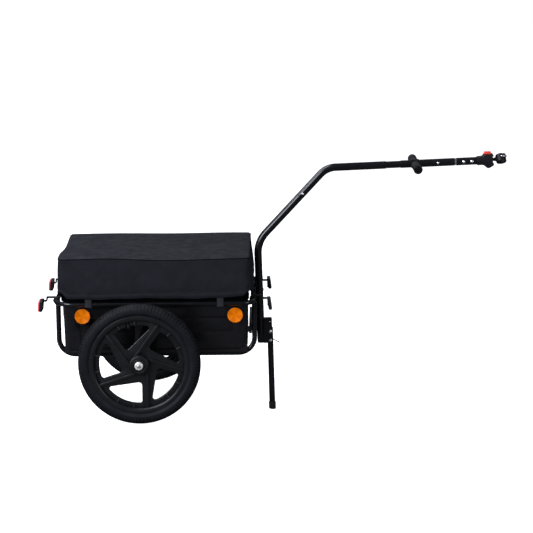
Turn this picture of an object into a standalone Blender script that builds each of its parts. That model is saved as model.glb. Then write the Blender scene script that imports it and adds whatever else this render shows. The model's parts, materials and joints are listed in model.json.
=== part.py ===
"""Bike cargo trailer: moulded five-spoke wheels, tube frame, tub, fabric cover, bent tow bar, stand and hitch.

Sizes are in metres. Each piece is drawn in the trailer's own level frame: X forwards, Y to the left, Z up, with
X = 0 at the wheel axle, Y = 0 in the middle and Z = 0 at the ground below level wheels. One empty carries the
whole trailer and tips it nose-up until the wheels and the foot of the stand touch the ground together.
"""

import math

import bmesh
import bpy
from mathutils import Matrix, Vector

# Overall and fits
GAP = 0.0003                    # clearance between pieces that touch
WHEEL_RADIUS = 0.200            # 16 x 1.75 inch wheel, over the tyre
HALF_TRACK = 0.280              # middle of the trailer to the middle of a wheel

# Wheel
WHEEL_STEPS = 36
TYRE_HALF_WIDTH = 0.0235
RIM_FLANGE_RADIUS = 0.163
RIM_HALF_WIDTH = 0.0168
RIM_INNER_RADIUS = 0.146
WINDOW_RADIUS = 0.130           # outer edge of the openings between the spokes
WEB_THICKNESS = 0.008
SPOKES = 5
SPOKE_OFFSET = 0.0255           # each spoke's rib passes this far beside the axle
RIB_WIDTH = 0.008
RIB_HALF_HEIGHT = 0.0120
HUB_RADIUS = 0.0325
HUB_INNER_FACE = -0.0325        # along the axle, outwards positive, from the wheel's middle
HUB_OUTER_FACE = 0.0265
BEARING_RADIUS = 0.014
BEARING_WIDTH = 0.008
AXLE_RADIUS = 0.006

# Frame
HOOP_TUBE = 0.016
HOOP_REAR, HOOP_FRONT = -0.277, 0.370
HOOP_HALF_WIDTH = 0.215
HOOP_HEIGHT = 0.385
HOOP_REAR_CORNER, HOOP_FRONT_CORNER = 0.058, 0.036
RAIL_TUBE = 0.017
RAIL_REAR, RAIL_FRONT = -0.2718, 0.3745
RAIL_OFFSET = 0.150
RAIL_HEIGHT = 0.2035
RAIL_BEND = 0.053
BEAM_TUBE = 0.024
BEAM_HEIGHT = 0.1707
PLATE_INNER_FACE = 0.2233       # side plates that hold the axle bushes
PLATE_THICKNESS = 0.004
FLAT_WIDTH, FLAT_HEIGHT, FLAT_HALF_LENGTH = 0.030, 0.0034, 0.158
FLAT_POSITIONS = {"rear": -0.150, "front": 0.230}

# Tow bar
BAR_TUBE = 0.0254
SPIGOT = 0.0230
BAR_FOOT = (0.3960, 0.202)      # X, Z of the bar's lower end
BAR_BEND_1 = (0.3870, 0.549)
BAR_BEND_2 = (0.6190, 0.797)
BAR_END = (1.0455, 0.81265)
BAR_BEND_RADIUS = (0.100, 0.072)
BAR_SLOPE = math.radians(2.1)   # of the top stretch
LOWER_JOINT = (0.530, 0.7036)
LOWER_BUTTON_AHEAD = 0.013
SPIGOT_START, SPIGOT_SHOWN_END, SPIGOT_END = 0.817, 0.865, 1.005
UPPER_BUTTON_X = 0.989
CROSSBAR_X = 0.9139
CROSSBAR_HALF_LENGTH = 0.135
GRIP_LENGTH = 0.105
GRIP_RADIUS = 0.0150

# Hitch, along its own axis from the ring at the end of the handle tube
HITCH_START = (1.0455, 0.81265)
SLEEVE_START, SLEEVE_END = 0.0050, 0.0740
HOUSING_END = 0.1300
BALL_AHEAD = 0.1095
BALL_RADIUS = 0.0098
STUD_PITCH = math.radians(5.0)  # the bike-side piece stands a little nose-up in the socket
CLAMP_ROLL = math.radians(58.0)
CLAMP_AHEAD = 0.0450            # ball centre to clamp centre
CLAMP_RADIUS = 0.0172
SEAT_POST_BORE = 0.0137         # radius, for a 27.2 mm seat post
CLAMP_WIDTH = 0.026
CLAMP_SPLIT_TURN = math.radians(66.0)

# Stand
STAND_PIVOT = (0.4262, 0.2425)
STAND_LEAN = math.radians(1.2)
STAND_TUBE = 0.020
STAND_FOOT_DROP = 0.2725        # pivot to the bottom of the foot
PIN_DROP = 0.030                # pivot to the lock pin

# Tub and cover
TUB_REAR, TUB_FRONT = -0.2540, 0.3530
TUB_HALF_WIDTH = 0.2040
TUB_FLOOR_HALF_WIDTH = 0.170
TUB_BOTTOM = 0.2160
TUB_RIM_UNDERSIDE = 0.3933
TUB_WALL = 0.003
RIM_REAR, RIM_FRONT, RIM_HALF_WIDTH_TUB = -0.2560, 0.3560, 0.2220
RIM_TOP = 0.4090
COVER_REAR, COVER_FRONT = -0.2670, 0.3720
COVER_HALF_WIDTH = 0.2300
COVER_HEM = 0.4060
COVER_TOP = 0.5405
COVER_THICKNESS = 0.0022
COVER_NOTCH = 0.0170            # how far the hem rises at each corner
STRAP_X = (-0.166, 0.2640)

# Reflectors
SIDE_REFLECTOR_X = (-0.1880, 0.3120)
SIDE_REFLECTOR_HEIGHT = 0.3420
SIDE_REFLECTOR_RADIUS = 0.027
SIDE_REFLECTOR_FACE = 0.2045
BRACKET_Y = 0.147
END_REFLECTOR_Y = 0.168
END_REFLECTOR_HEIGHT = 0.3743
END_REFLECTOR_FACE = {-1: -0.3345, 1: 0.4312}

# Each finish: colour, roughness, metallic
FINISHES = {
    "black_paint": ((0.012, 0.012, 0.014), 0.32, 0.0),
    "black_plastic": ((0.014, 0.014, 0.016), 0.48, 0.0),
    "wheel_plastic": ((0.018, 0.018, 0.020), 0.55, 0.0),
    "tyre_rubber": ((0.016, 0.017, 0.018), 0.80, 0.0),
    "foam": ((0.020, 0.020, 0.022), 0.85, 0.0),
    "rubber": ((0.012, 0.012, 0.012), 0.75, 0.0),
    "cover_fabric": ((0.020, 0.021, 0.024), 0.85, 0.0),
    "webbing": ((0.055, 0.057, 0.062), 0.80, 0.0),
    "chrome": ((0.80, 0.80, 0.82), 0.15, 1.0),
    "zinc": ((0.70, 0.71, 0.73), 0.30, 1.0),
    "amber_lens": ((0.90, 0.30, 0.02), 0.18, 0.0),
    "red_lens": ((0.70, 0.03, 0.04), 0.18, 0.0),
    "clear_lens": ((0.80, 0.82, 0.85), 0.15, 0.0),
    "red_button": ((0.80, 0.05, 0.03), 0.40, 0.0),
}


def clear_scene():
    """Start from nothing."""
    for leftover in list(bpy.data.objects):
        bpy.data.objects.remove(leftover, do_unlink=True)


def empty(name, parent=None, location=(0, 0, 0), rotation=(0, 0, 0)):
    """A point that carries other pieces; joint axes run through such points."""
    point = bpy.data.objects.new(name, None)
    bpy.context.collection.objects.link(point)
    point.parent = parent
    point.location = location
    point.rotation_euler = rotation
    return point


def finish_material(name, finish):
    """The piece's own material, from the table of finishes."""
    colour, roughness, metallic = FINISHES[finish]
    material = bpy.data.materials.new(name)
    material.use_nodes = True
    shader = material.node_tree.nodes["Principled BSDF"]
    shader.inputs["Base Color"].default_value = (*colour, 1.0)
    shader.inputs["Roughness"].default_value = roughness
    shader.inputs["Metallic"].default_value = metallic
    return material


def piece(name, shape, finish, parent, location=(0, 0, 0), rotation=(0, 0, 0), sharp=35):
    """Turn a finished bmesh into a named object with its material and its place."""
    bmesh.ops.recalc_face_normals(shape, faces=shape.faces)
    mesh = bpy.data.meshes.new(name)
    shape.to_mesh(mesh)
    shape.free()
    mesh.shade_smooth()
    mesh.set_sharp_from_angle(angle=math.radians(sharp))
    made = bpy.data.objects.new(name, mesh)
    bpy.context.collection.objects.link(made)
    made.data.materials.append(finish_material(name, finish))
    made.parent = parent
    made.location = location
    made.rotation_euler = rotation
    return made


def boolean(target, name, shape, operation, solver="EXACT"):
    """Cut a shape out of a piece, or fuse it on, with the shape kept as a hidden wire object."""
    tool = piece(name, shape, "zinc", target.parent, target.location, target.rotation_euler)
    tool.hide_render = True
    tool.display_type = "WIRE"
    modifier = target.modifiers.new(name, "BOOLEAN")
    modifier.operation = operation
    modifier.solver = solver
    modifier.object = tool


def cut(target, name, shape, solver="EXACT"):
    """Take the shape away from the piece."""
    boolean(target, name, shape, "DIFFERENCE", solver)


def fuse(target, name, shape, solver="EXACT"):
    """Make the shape part of the piece."""
    boolean(target, name, shape, "UNION", solver)


def moved(shape, offset=(0, 0, 0), turn=None):
    """Turn a shape by a matrix, then shift it."""
    if turn is not None:
        bmesh.ops.transform(shape, matrix=turn.to_4x4(), verts=shape.verts)
    bmesh.ops.translate(shape, verts=shape.verts, vec=Vector(offset))
    return shape


def skin(rings, loop=False, caps=True):
    """Join rings of equally many points into a closed surface; a ring on the axis closes to a point."""
    shape = bmesh.new()
    drawn = [[shape.verts.new(point) for point in ring] for ring in rings]
    pairs = list(zip(drawn, drawn[1:]))
    if loop:
        pairs.append((drawn[-1], drawn[0]))
    for ring, following in pairs:
        count = len(ring)
        for i in range(count):
            j = (i + 1) % count
            shape.faces.new((ring[i], ring[j], following[j], following[i]))
    if caps and not loop:
        shape.faces.new(drawn[0])
        shape.faces.new(drawn[-1])
    bmesh.ops.remove_doubles(shape, verts=shape.verts, dist=1e-7)
    bmesh.ops.recalc_face_normals(shape, faces=shape.faces)
    return shape


def turned(profile, axis="Y", steps=24, start=0.0, sweep=2 * math.pi, loop=False):
    """A lathe shape: (radius, along) pairs spun about an axis; loop closes the profile into a ring."""
    across = {"X": (Vector((0, 1, 0)), Vector((0, 0, 1))),
              "Y": (Vector((0, 0, 1)), Vector((1, 0, 0))),
              "Z": (Vector((1, 0, 0)), Vector((0, 1, 0)))}[axis]
    along = across[0].cross(across[1])
    full = abs(sweep - 2 * math.pi) < 1e-6
    count = steps if full else steps + 1
    columns = []
    for i in range(count):
        angle = start + sweep * i / steps
        direction = across[0] * math.cos(angle) + across[1] * math.sin(angle)
        columns.append([direction * radius + along * height for radius, height in profile])
    if loop:
        return skin(columns, loop=full)
    rings = [list(ring) for ring in zip(*columns)]
    return skin(rings, caps=False)


def fillet_path(corners, radius, steps=5, closed=False):
    """Points along straight runs with each inner corner rounded to the radius."""
    corners = [Vector(corner) for corner in corners]
    count = len(corners)
    path = []
    for i, corner in enumerate(corners):
        if not closed and i in (0, count - 1):
            path.append(corner)
            continue
        back = (corners[i - 1] - corner).normalized()
        ahead = (corners[(i + 1) % count] - corner).normalized()
        half = back.angle(ahead) / 2
        centre = corner + (back + ahead).normalized() * (radius / math.sin(half))
        first = corner + back * (radius / math.tan(half)) - centre
        last = corner + ahead * (radius / math.tan(half)) - centre
        turn = first.angle(last)
        pivot = first.cross(last).normalized()
        for k in range(steps + 1):
            path.append(centre + Matrix.Rotation(turn * k / steps, 3, pivot) @ first)
    return path


def tube(path, diameter, side, sides=12, bore=None, closed=False):
    """A round tube along a flat path; side is the normal of the path's plane."""
    side = Vector(side)
    path = [Vector(point) for point in path]
    count = len(path)
    outer, inner = [], []
    for i, point in enumerate(path):
        before = path[i - 1] if closed or i else point
        after = path[(i + 1) % count] if closed or i < count - 1 else point
        tangent = (after - before).normalized()
        up = side.cross(tangent).normalized()
        for rings, width in ((outer, diameter), (inner, bore)):
            if width is None:
                continue
            ring = []
            for k in range(sides):
                angle = 2 * math.pi * (k + 0.5) / sides
                ring.append(point + (side * math.cos(angle) + up * math.sin(angle)) * width / 2)
            rings.append(ring)
    if bore is None:
        return skin(outer, loop=closed)
    return skin(outer + inner[::-1], loop=True)


def rod(start, end, diameter, sides=12, bore=None):
    """A straight round bar or tube between two points."""
    start, end = Vector(start), Vector(end)
    direction = (end - start).normalized()
    side = Vector((0, 1, 0)) if abs(direction.y) < 0.9 else Vector((1, 0, 0))
    return tube([start, end], diameter, side, sides, bore)


def pierced_plate(outline, holes, thickness):
    """A flat plate in the XZ plane, centred on Y = 0, with holes of any outline."""
    shape = bmesh.new()
    edges = []
    for boundary in [outline, *holes]:
        verts = [shape.verts.new((x, -thickness / 2, z)) for x, z in boundary]
        for i, vert in enumerate(verts):
            edges.append(shape.edges.new((vert, verts[(i + 1) % len(verts)])))
    bmesh.ops.triangle_fill(shape, use_beauty=True, edges=edges)
    lifted = bmesh.ops.extrude_face_region(shape, geom=list(shape.faces))
    verts = [item for item in lifted["geom"] if isinstance(item, bmesh.types.BMVert)]
    bmesh.ops.translate(shape, verts=verts, vec=(0, thickness, 0))
    return shape


def circle(centre, radius, steps=12):
    """Points of a round hole or outline in the XZ plane."""
    return [(centre[0] + radius * math.cos(2 * math.pi * (k + 0.5) / steps),
             centre[1] + radius * math.sin(2 * math.pi * (k + 0.5) / steps)) for k in range(steps)]


def block(low, high, soften=0.0):
    """A box between two corners, with its edges broken if asked."""
    shape = bmesh.new()
    bmesh.ops.create_cube(shape, size=1.0)
    low, high = Vector(low), Vector(high)
    bmesh.ops.scale(shape, vec=high - low, verts=shape.verts)
    bmesh.ops.translate(shape, vec=(low + high) / 2, verts=shape.verts)
    if soften:
        bmesh.ops.bevel(shape, geom=list(shape.edges), offset=soften, segments=1, affect="EDGES")
    return shape


# Wheels

def rim_ring():
    """The moulded rim: flanges, bead seat and the inner wall that the web grows from."""
    flange_edge = 0.0142
    seat_radius, seat_half_width = 0.1545, 0.0125
    step_radius, wall_half_width = 0.1495, 0.0130
    half = [(RIM_FLANGE_RADIUS, RIM_HALF_WIDTH), (RIM_FLANGE_RADIUS, flange_edge),
            (seat_radius, seat_half_width)]
    inner = [(step_radius, -RIM_HALF_WIDTH), (RIM_INNER_RADIUS, -wall_half_width),
             (RIM_INNER_RADIUS, wall_half_width), (step_radius, RIM_HALF_WIDTH)]
    profile = half + [(radius, -along) for radius, along in reversed(half)] + inner
    return turned(profile, "Y", WHEEL_STEPS, wheel_phase(), loop=True)


def wheel_phase():
    """Half a step, so that a row of points on each tyre lies at its lowest place when the trailer stands."""
    return math.pi / WHEEL_STEPS


def window_outline(spoke):
    """One opening: the far edge of a spoke, the near edge of the next, and the arc between them."""
    def direction(index):
        angle = math.radians(-90 + 72 * index)
        return Vector((math.cos(angle), math.sin(angle)))

    along_a, along_b = direction(spoke), direction(spoke + 1)
    across_a = Vector((-along_a.y, along_a.x))
    across_b = Vector((-along_b.y, along_b.x))
    far_hub = along_a * 0.040 + across_a * 0.0535
    far_rim = along_a * 0.115 + across_a * 0.0405
    near_offset = across_b * 0.0075

    slope = (far_rim - far_hub).normalized()
    gap = near_offset - far_hub
    cross = slope.x * along_b.y - slope.y * along_b.x
    hub_corner = far_hub + slope * ((gap.x * along_b.y - gap.y * along_b.x) / cross)

    def on_circle(origin, heading):
        half_b = origin.dot(heading)
        reach = -half_b + math.sqrt(half_b * half_b - origin.length_squared + WINDOW_RADIUS ** 2)
        return origin + heading * reach

    corner_a = on_circle(far_hub, slope)
    corner_b = on_circle(near_offset, along_b)
    start = math.atan2(corner_a.y, corner_a.x)
    sweep = (math.atan2(corner_b.y, corner_b.x) - start) % (2 * math.pi)
    arc = [Vector((math.cos(start + sweep * k / 4), math.sin(start + sweep * k / 4))) * WINDOW_RADIUS
           for k in (1, 2, 3)]
    corners = [(hub_corner, 0.011), (corner_a, 0.008), *[(point, 0.0) for point in arc], (corner_b, 0.008)]
    return rounded_outline(corners, 2)


def rounded_outline(corners, steps=3):
    """A closed flat outline whose corners each have their own radius; 0 leaves a corner as it is."""
    count = len(corners)
    outline = []
    for i, (corner, radius) in enumerate(corners):
        if radius == 0.0:
            outline.append((corner.x, corner.y))
            continue
        before = Vector((*corners[i - 1][0], 0))
        after = Vector((*corners[(i + 1) % count][0], 0))
        bend = fillet_path([before, Vector((*corner, 0)), after], radius, steps)
        outline.extend((point.x, point.y) for point in bend[1:-1])
    return outline


def spoke_web():
    """The flat web of the wheel with its five rounded openings."""
    embedded = 0.1490
    outline = [(embedded * math.cos(wheel_phase() + 2 * math.pi * k / WHEEL_STEPS),
                embedded * math.sin(wheel_phase() + 2 * math.pi * k / WHEEL_STEPS)) for k in range(WHEEL_STEPS)]
    holes = [window_outline(spoke) for spoke in range(SPOKES)]
    holes.append(circle((0, 0), 0.020, 8))
    return pierced_plate(outline, holes, WEB_THICKNESS)


def spoke_rib(spoke):
    """The raised rib of one spoke: it starts beside the hub and runs out to the rim."""
    inner_end, outer_end = -0.012, 0.1440
    half = RIB_WIDTH / 2
    section = [(-half, RIB_HALF_HEIGHT), (half, RIB_HALF_HEIGHT), (half, -RIB_HALF_HEIGHT), (-half, -RIB_HALF_HEIGHT)]
    rings = [[Vector((SPOKE_OFFSET + across, -height, -reach)) for across, height in section]
             for reach in (inner_end, outer_end)]
    angle = math.radians(72 * spoke)
    return moved(skin(rings), turn=Matrix.Rotation(-angle, 3, "Y"))


def hub_body():
    """The hub: a boss with a pocket for a bearing at each end."""
    pocket = BEARING_RADIUS + GAP
    bore = 0.0105
    shoulder = BEARING_WIDTH + GAP
    profile = [(pocket, HUB_OUTER_FACE), (0.0285, HUB_OUTER_FACE), (HUB_RADIUS, HUB_OUTER_FACE - 0.004),
               (HUB_RADIUS, -0.0100), (0.0240, -0.0270), (0.0210, HUB_INNER_FACE), (pocket, HUB_INNER_FACE),
               (pocket, HUB_INNER_FACE + shoulder), (bore, HUB_INNER_FACE + shoulder),
               (bore, HUB_OUTER_FACE - shoulder), (pocket, HUB_OUTER_FACE - shoulder)]
    outwards = [(radius, -along) for radius, along in profile]
    return turned(outwards, "Y", 12, loop=True)


def valve_place(radius, along=0.0):
    """A point on the valve's line, 15 degrees before the top of the wheel."""
    angle = math.radians(105)
    return Vector((radius * math.cos(angle), along, radius * math.sin(angle)))


def make_rim(name, parent):
    """The moulded wheel in one piece, drawn with its outer side towards -Y."""
    rim = piece(name, rim_ring(), "wheel_plastic", parent)
    fuse(rim, name + "_web", spoke_web(), "MANIFOLD")
    for spoke in range(SPOKES):
        fuse(rim, f"{name}_rib_{spoke}", spoke_rib(spoke), "MANIFOLD")
    fuse(rim, name + "_hub", hub_body(), "MANIFOLD")
    cut(rim, name + "_valve_hole", rod(valve_place(0.1590), valve_place(0.1440), 0.0080, 8), "MANIFOLD")
    cut(rim, name + "_valve_notch", valve_notch(), "MANIFOLD")
    return rim


def valve_notch():
    """A slot through the web, so that a pump reaches the valve."""
    notch = block((0.1180, -0.020, -0.0080), (0.1455, 0.020, 0.0080))
    return moved(notch, turn=Matrix.Rotation(-math.radians(105), 3, "Y"))


def make_tyre(name, parent):
    """The tyre: rounded crown, full sidewalls and beads inside the rim's flanges."""
    half = [(0.1975, 0.0115), (0.1895, 0.0205), (0.1770, TYRE_HALF_WIDTH), (0.1668, 0.0208),
            (0.1634, 0.0172), (0.1634, 0.0136), (0.1550, 0.0119)]
    profile = [(WHEEL_RADIUS, 0.0)] + half + [(radius, -along) for radius, along in reversed(half)]
    return piece(name, turned(profile, "Y", WHEEL_STEPS, wheel_phase(), loop=True), "tyre_rubber", parent)


def make_bearings(name, parent):
    """The two bearings of a wheel with the spacer sleeve between them, as one turned shape."""
    bore, sleeve = AXLE_RADIUS + GAP, 0.0086
    inner, outer = -HUB_INNER_FACE, -HUB_OUTER_FACE
    profile = [(bore, inner), (BEARING_RADIUS, inner), (BEARING_RADIUS, inner - BEARING_WIDTH),
               (sleeve, inner - BEARING_WIDTH), (sleeve, outer + BEARING_WIDTH),
               (BEARING_RADIUS, outer + BEARING_WIDTH), (BEARING_RADIUS, outer), (bore, outer)]
    return piece(name, turned(profile, "Y", 12, loop=True), "zinc", parent)


def make_valve(name, parent):
    """The valve stem with its cap, pointing from the rim to the hub."""
    stem = [(0.0, 0.0), (0.0034, 0.0), (0.0034, 0.0180), (0.0044, 0.0190), (0.0044, 0.0300), (0.0, 0.0310)]
    shape = turned(stem, "Z", 8)
    lean = math.radians(105 - 90)
    shape = moved(shape, turn=Matrix.Rotation(math.pi - lean, 3, "Y"))
    return piece(name, moved(shape, valve_place(0.1538)), "chrome", parent)


def make_wheels(trailer):
    """Both wheels, the left one the same moulding turned about."""
    right = empty("wheel_right_axis", trailer, (0, -HALF_TRACK, WHEEL_RADIUS))
    left = empty("wheel_left_axis", trailer, (0, HALF_TRACK, WHEEL_RADIUS))
    about = (0, 0, math.pi)
    for axis, side, rotation in ((right, "right", (0, 0, 0)), (left, "left", about)):
        holder = empty(f"wheel_{side}_outside", axis, rotation=rotation)
        make_rim(f"rim_{side}", holder)
        make_tyre(f"tyre_{side}", holder)
        make_bearings(f"bearings_{side}", holder)
        make_valve(f"valve_{side}", holder)


# Axles

def make_axle(side, sign, trailer):
    """Stub axle with a domed chrome head and its push button; sign is -1 on the right, +1 on the left."""
    head_inner = HALF_TRACK + HUB_OUTER_FACE + GAP
    head_outer = 0.3150
    pocket_floor = head_outer - 0.0060
    button_radius = 0.0058
    tip = 0.2000
    profile = [(0.0, tip), (AXLE_RADIUS - 0.0015, tip), (AXLE_RADIUS, tip + 0.0020), (AXLE_RADIUS, head_inner),
               (0.0135, head_inner), (0.0140, head_outer - 0.0030), (0.0120, head_outer),
               (button_radius + GAP, head_outer), (button_radius + GAP, pocket_floor), (0.0, pocket_floor)]
    placed = [(radius, sign * along) for radius, along in profile]
    axle_line = (0, 0, WHEEL_RADIUS)
    piece(f"axle_{side}", turned(placed, "Y", 14), "chrome", trailer, axle_line)
    button = [(0.0, pocket_floor + 0.0030), (button_radius, pocket_floor + 0.0030),
              (button_radius, head_outer + 0.0022), (button_radius - 0.0010, head_outer + 0.0030),
              (0.0, head_outer + 0.0033)]
    slide = empty(f"axle_button_{side}_slide", trailer, axle_line)
    piece(f"axle_button_{side}", turned([(r, sign * a) for r, a in button], "Y", 12), "chrome", slide)


def axle_bush(sign):
    """The bush that takes the axle: it runs through the side plate and has a flange outside it."""
    outside = PLATE_INNER_FACE + PLATE_THICKNESS
    profile = [(0.0, 0.2020), (0.0110, 0.2020), (0.0110, outside - 0.0010), (0.0150, outside - 0.0010),
               (0.0150, outside + 0.0030), (0.0120, outside + 0.0045), (0.0120, 0.2468), (0.0, 0.2468)]
    placed = [(radius, sign * along) for radius, along in profile]
    return moved(turned(placed, "Y", 14), (0, 0, WHEEL_RADIUS))


# Frame

def make_hoop(trailer):
    """The top hoop: one tube bent round the tub."""
    corners = [(Vector((x, y)), radius) for x, y, radius in (
        (HOOP_REAR, -HOOP_HALF_WIDTH, HOOP_REAR_CORNER), (HOOP_FRONT, -HOOP_HALF_WIDTH, HOOP_FRONT_CORNER),
        (HOOP_FRONT, HOOP_HALF_WIDTH, HOOP_FRONT_CORNER), (HOOP_REAR, HOOP_HALF_WIDTH, HOOP_REAR_CORNER))]
    path = [(x, y, HOOP_HEIGHT) for x, y in rounded_outline(corners, 4)]
    return piece("hoop_tube", tube(path, HOOP_TUBE, (0, 0, 1), 12, closed=True), "black_paint", trailer)


def make_rail(side, sign, trailer):
    """A U tube that hangs from the hoop and runs under the tub."""
    top = HOOP_HEIGHT - HOOP_TUBE / 2 - GAP
    y = sign * RAIL_OFFSET
    corners = [(RAIL_REAR, y, top), (RAIL_REAR, y, RAIL_HEIGHT), (RAIL_FRONT, y, RAIL_HEIGHT), (RAIL_FRONT, y, top)]
    path = fillet_path(corners, RAIL_BEND, 4)
    piece(f"rail_{side}", tube(path, RAIL_TUBE, (0, 1, 0), 12), "black_paint", trailer)


def make_cross_members(trailer):
    """What joins the rails: two flats under the tub, the front plate and the axle beam."""
    flat_bottom = RAIL_HEIGHT + RAIL_TUBE / 2 + GAP
    for end, x in FLAT_POSITIONS.items():
        low = (x - FLAT_WIDTH / 2, -FLAT_HALF_LENGTH, flat_bottom)
        high = (x + FLAT_WIDTH / 2, FLAT_HALF_LENGTH, flat_bottom + FLAT_HEIGHT)
        piece(f"cross_flat_{end}", block(low, high, 0.0015), "black_paint", trailer)
    front_bar(trailer)
    end = PLATE_INNER_FACE - GAP
    beam = rod((0, -end, BEAM_HEIGHT), (0, end, BEAM_HEIGHT), BEAM_TUBE, 12)
    beam = piece("axle_beam", beam, "black_paint", trailer)
    saddle_top = RAIL_HEIGHT - RAIL_TUBE / 2 - GAP
    for side, sign in (("right", -1), ("left", 1)):
        y_low, y_high = sorted((sign * (RAIL_OFFSET - 0.0100), sign * (RAIL_OFFSET + 0.0100)))
        saddle = block((-0.0090, y_low, BEAM_HEIGHT), (0.0090, y_high, saddle_top), 0.0008)
        fuse(beam, f"beam_saddle_{side}", saddle)


def front_bar(trailer):
    """The flat bar across the front uprights, with the lug that meets the tow bar."""
    front = RAIL_FRONT - RAIL_TUBE / 2 - GAP
    low, high = 0.2700, 0.2915
    flat = block((front - 0.0095, -FLAT_HALF_LENGTH, low), (front, FLAT_HALF_LENGTH, high), 0.0010)
    bar = piece("front_cross_plate", flat, "black_paint", trailer)
    foot_x, foot_z = BAR_FOOT
    bar_rear = foot_x + (BAR_BEND_1[0] - foot_x) * (high - foot_z) / (BAR_BEND_1[1] - foot_z) - BAR_TUBE / 2
    fuse(bar, "front_lug", block((front - 0.0040, -0.0120, low + 0.0020), (bar_rear - GAP, 0.0120, high - 0.0020)))


def make_axle_plate(side, sign, trailer):
    """The plate from the axle beam up to the hoop, with the welded bush for the axle."""
    bottom, top = 0.1560, HOOP_HEIGHT + 0.0060
    corners = [(Vector((-0.026, bottom)), 0.010), (Vector((0.026, bottom)), 0.010), (Vector((0.030, 0.200)), 0.030),
               (Vector((0.015, 0.262)), 0.040), (Vector((0.015, top)), 0.004), (Vector((-0.015, top)), 0.004),
               (Vector((-0.015, 0.262)), 0.040), (Vector((-0.030, 0.200)), 0.030)]
    outline = rounded_outline(corners, 2)
    y = sign * (PLATE_INNER_FACE + PLATE_THICKNESS / 2)
    shape = moved(pierced_plate(outline, [], PLATE_THICKNESS), (0, y, 0))
    plate = piece(f"axle_plate_{side}", shape, "black_paint", trailer)
    fuse(plate, f"axle_bush_{side}", axle_bush(sign))
    bore = 2 * (AXLE_RADIUS + GAP)
    cut(plate, f"axle_bore_{side}", rod((0, sign * 0.190, WHEEL_RADIUS), (0, sign * 0.260, WHEEL_RADIUS), bore, 14))


# Tow bar

def bar_point(x):
    """A point on the centre line of the bar's top stretch."""
    return Vector((x, 0, BAR_END[1] - (BAR_END[0] - x) * math.tan(BAR_SLOPE)))


def make_tow_bar(trailer):
    """The bar in three lengths that plug into each other, with the two sprung lock buttons."""
    foot, bend_1, bend_2 = (Vector((x, 0, z)) for x, z in (BAR_FOOT, BAR_BEND_1, BAR_BEND_2))
    rise = (bend_2 - bend_1).normalized()
    joint = bend_1 + rise * ((LOWER_JOINT[0] - bend_1.x) / rise.x)
    bore = SPIGOT + 2 * GAP

    lower_path = fillet_path([foot, bend_1, joint - rise * GAP], BAR_BEND_RADIUS[0], 5)
    lower = piece("tow_bar_lower", tube(lower_path, BAR_TUBE, (0, 1, 0), 12), "black_paint", trailer)
    fuse(lower, "lower_spigot", rod(joint - rise * 0.010, joint + rise * 0.050, SPIGOT, 12))

    upper_end = bar_point(SPIGOT_START)
    upper_path = fillet_path([joint, bend_2, upper_end], BAR_BEND_RADIUS[1], 4)
    upper = piece("tow_bar_upper", tube(upper_path, BAR_TUBE, (0, 1, 0), 12, bore=bore), "black_paint", trailer)
    fuse(upper, "upper_spigot", rod(bar_point(SPIGOT_START - 0.060), bar_point(SPIGOT_END), SPIGOT, 12))
    fuse(upper, "upper_plug", rod(bar_point(SPIGOT_START - 0.058), bar_point(SPIGOT_START - 0.002), bore + 0.0008, 12))

    handle = rod(bar_point(SPIGOT_SHOWN_END), bar_point(BAR_END[0]), BAR_TUBE, 12, bore=bore)
    handle = piece("handle_tube", handle, "black_paint", trailer)

    lower_place = joint + rise * LOWER_BUTTON_AHEAD
    upper_place = bar_point(UPPER_BUTTON_X)
    for end, place, inner, outer in (("lower", lower_place, lower, upper), ("upper", upper_place, upper, handle)):
        snap_button(end, place, inner, outer, trailer)
    return lower


def make_bar_mounting(lower, hoop, trailer):
    """The lug behind the tow bar that sits on the hoop, and the bolt along X through bar and hoop."""
    def bar_x(height):
        share = (height - BAR_FOOT[1]) / (BAR_BEND_1[1] - BAR_FOOT[1])
        return BAR_FOOT[0] + (BAR_BEND_1[0] - BAR_FOOT[0]) * share

    middle = bar_x(HOOP_HEIGHT)
    low, high = HOOP_HEIGHT + HOOP_TUBE / 2 + GAP, 0.4210
    shoulder = COVER_HEM - 0.0015
    side = [(HOOP_FRONT - 0.0030, low), (middle, low), (middle, high), (HOOP_FRONT + 0.0055, high),
            (HOOP_FRONT + 0.0055, shoulder), (HOOP_FRONT - 0.0030, low + 0.0060)]
    clamp = piece("tow_bar_clamp", pierced_plate(side, [], 0.0200), "black_paint", trailer)
    lean = math.atan2(BAR_FOOT[0] - BAR_BEND_1[0], BAR_BEND_1[1] - BAR_FOOT[1])
    bar_space = moved(rod((0, 0, -0.020), (0, 0, 0.060), BAR_TUBE + 2 * GAP, 12),
                      (middle, 0, HOOP_HEIGHT), Matrix.Rotation(-lean, 3, "Y"))
    cut(clamp, "clamp_bore", bar_space)

    back, front = HOOP_FRONT - HOOP_TUBE / 2, middle + BAR_TUBE / 2
    for target in (lower, hoop):
        drill = rod((back - 0.010, 0, HOOP_HEIGHT), (front + 0.010, 0, HOOP_HEIGHT), 0.0066, 10)
        cut(target, f"{target.name}_bolt_hole", drill)
    profile = [(0.0, back - GAP - 0.0030), (0.0050, back - GAP - 0.0030), (0.0050, back - GAP),
               (0.0030, back - GAP), (0.0030, front + GAP), (0.0050, front + GAP),
               (0.0050, front + GAP + 0.0016), (0.0, front + GAP + 0.0022)]
    piece("tow_bar_bolt", moved(turned(profile, "X", 10), (0, 0, HOOP_HEIGHT)), "chrome", trailer)


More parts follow.
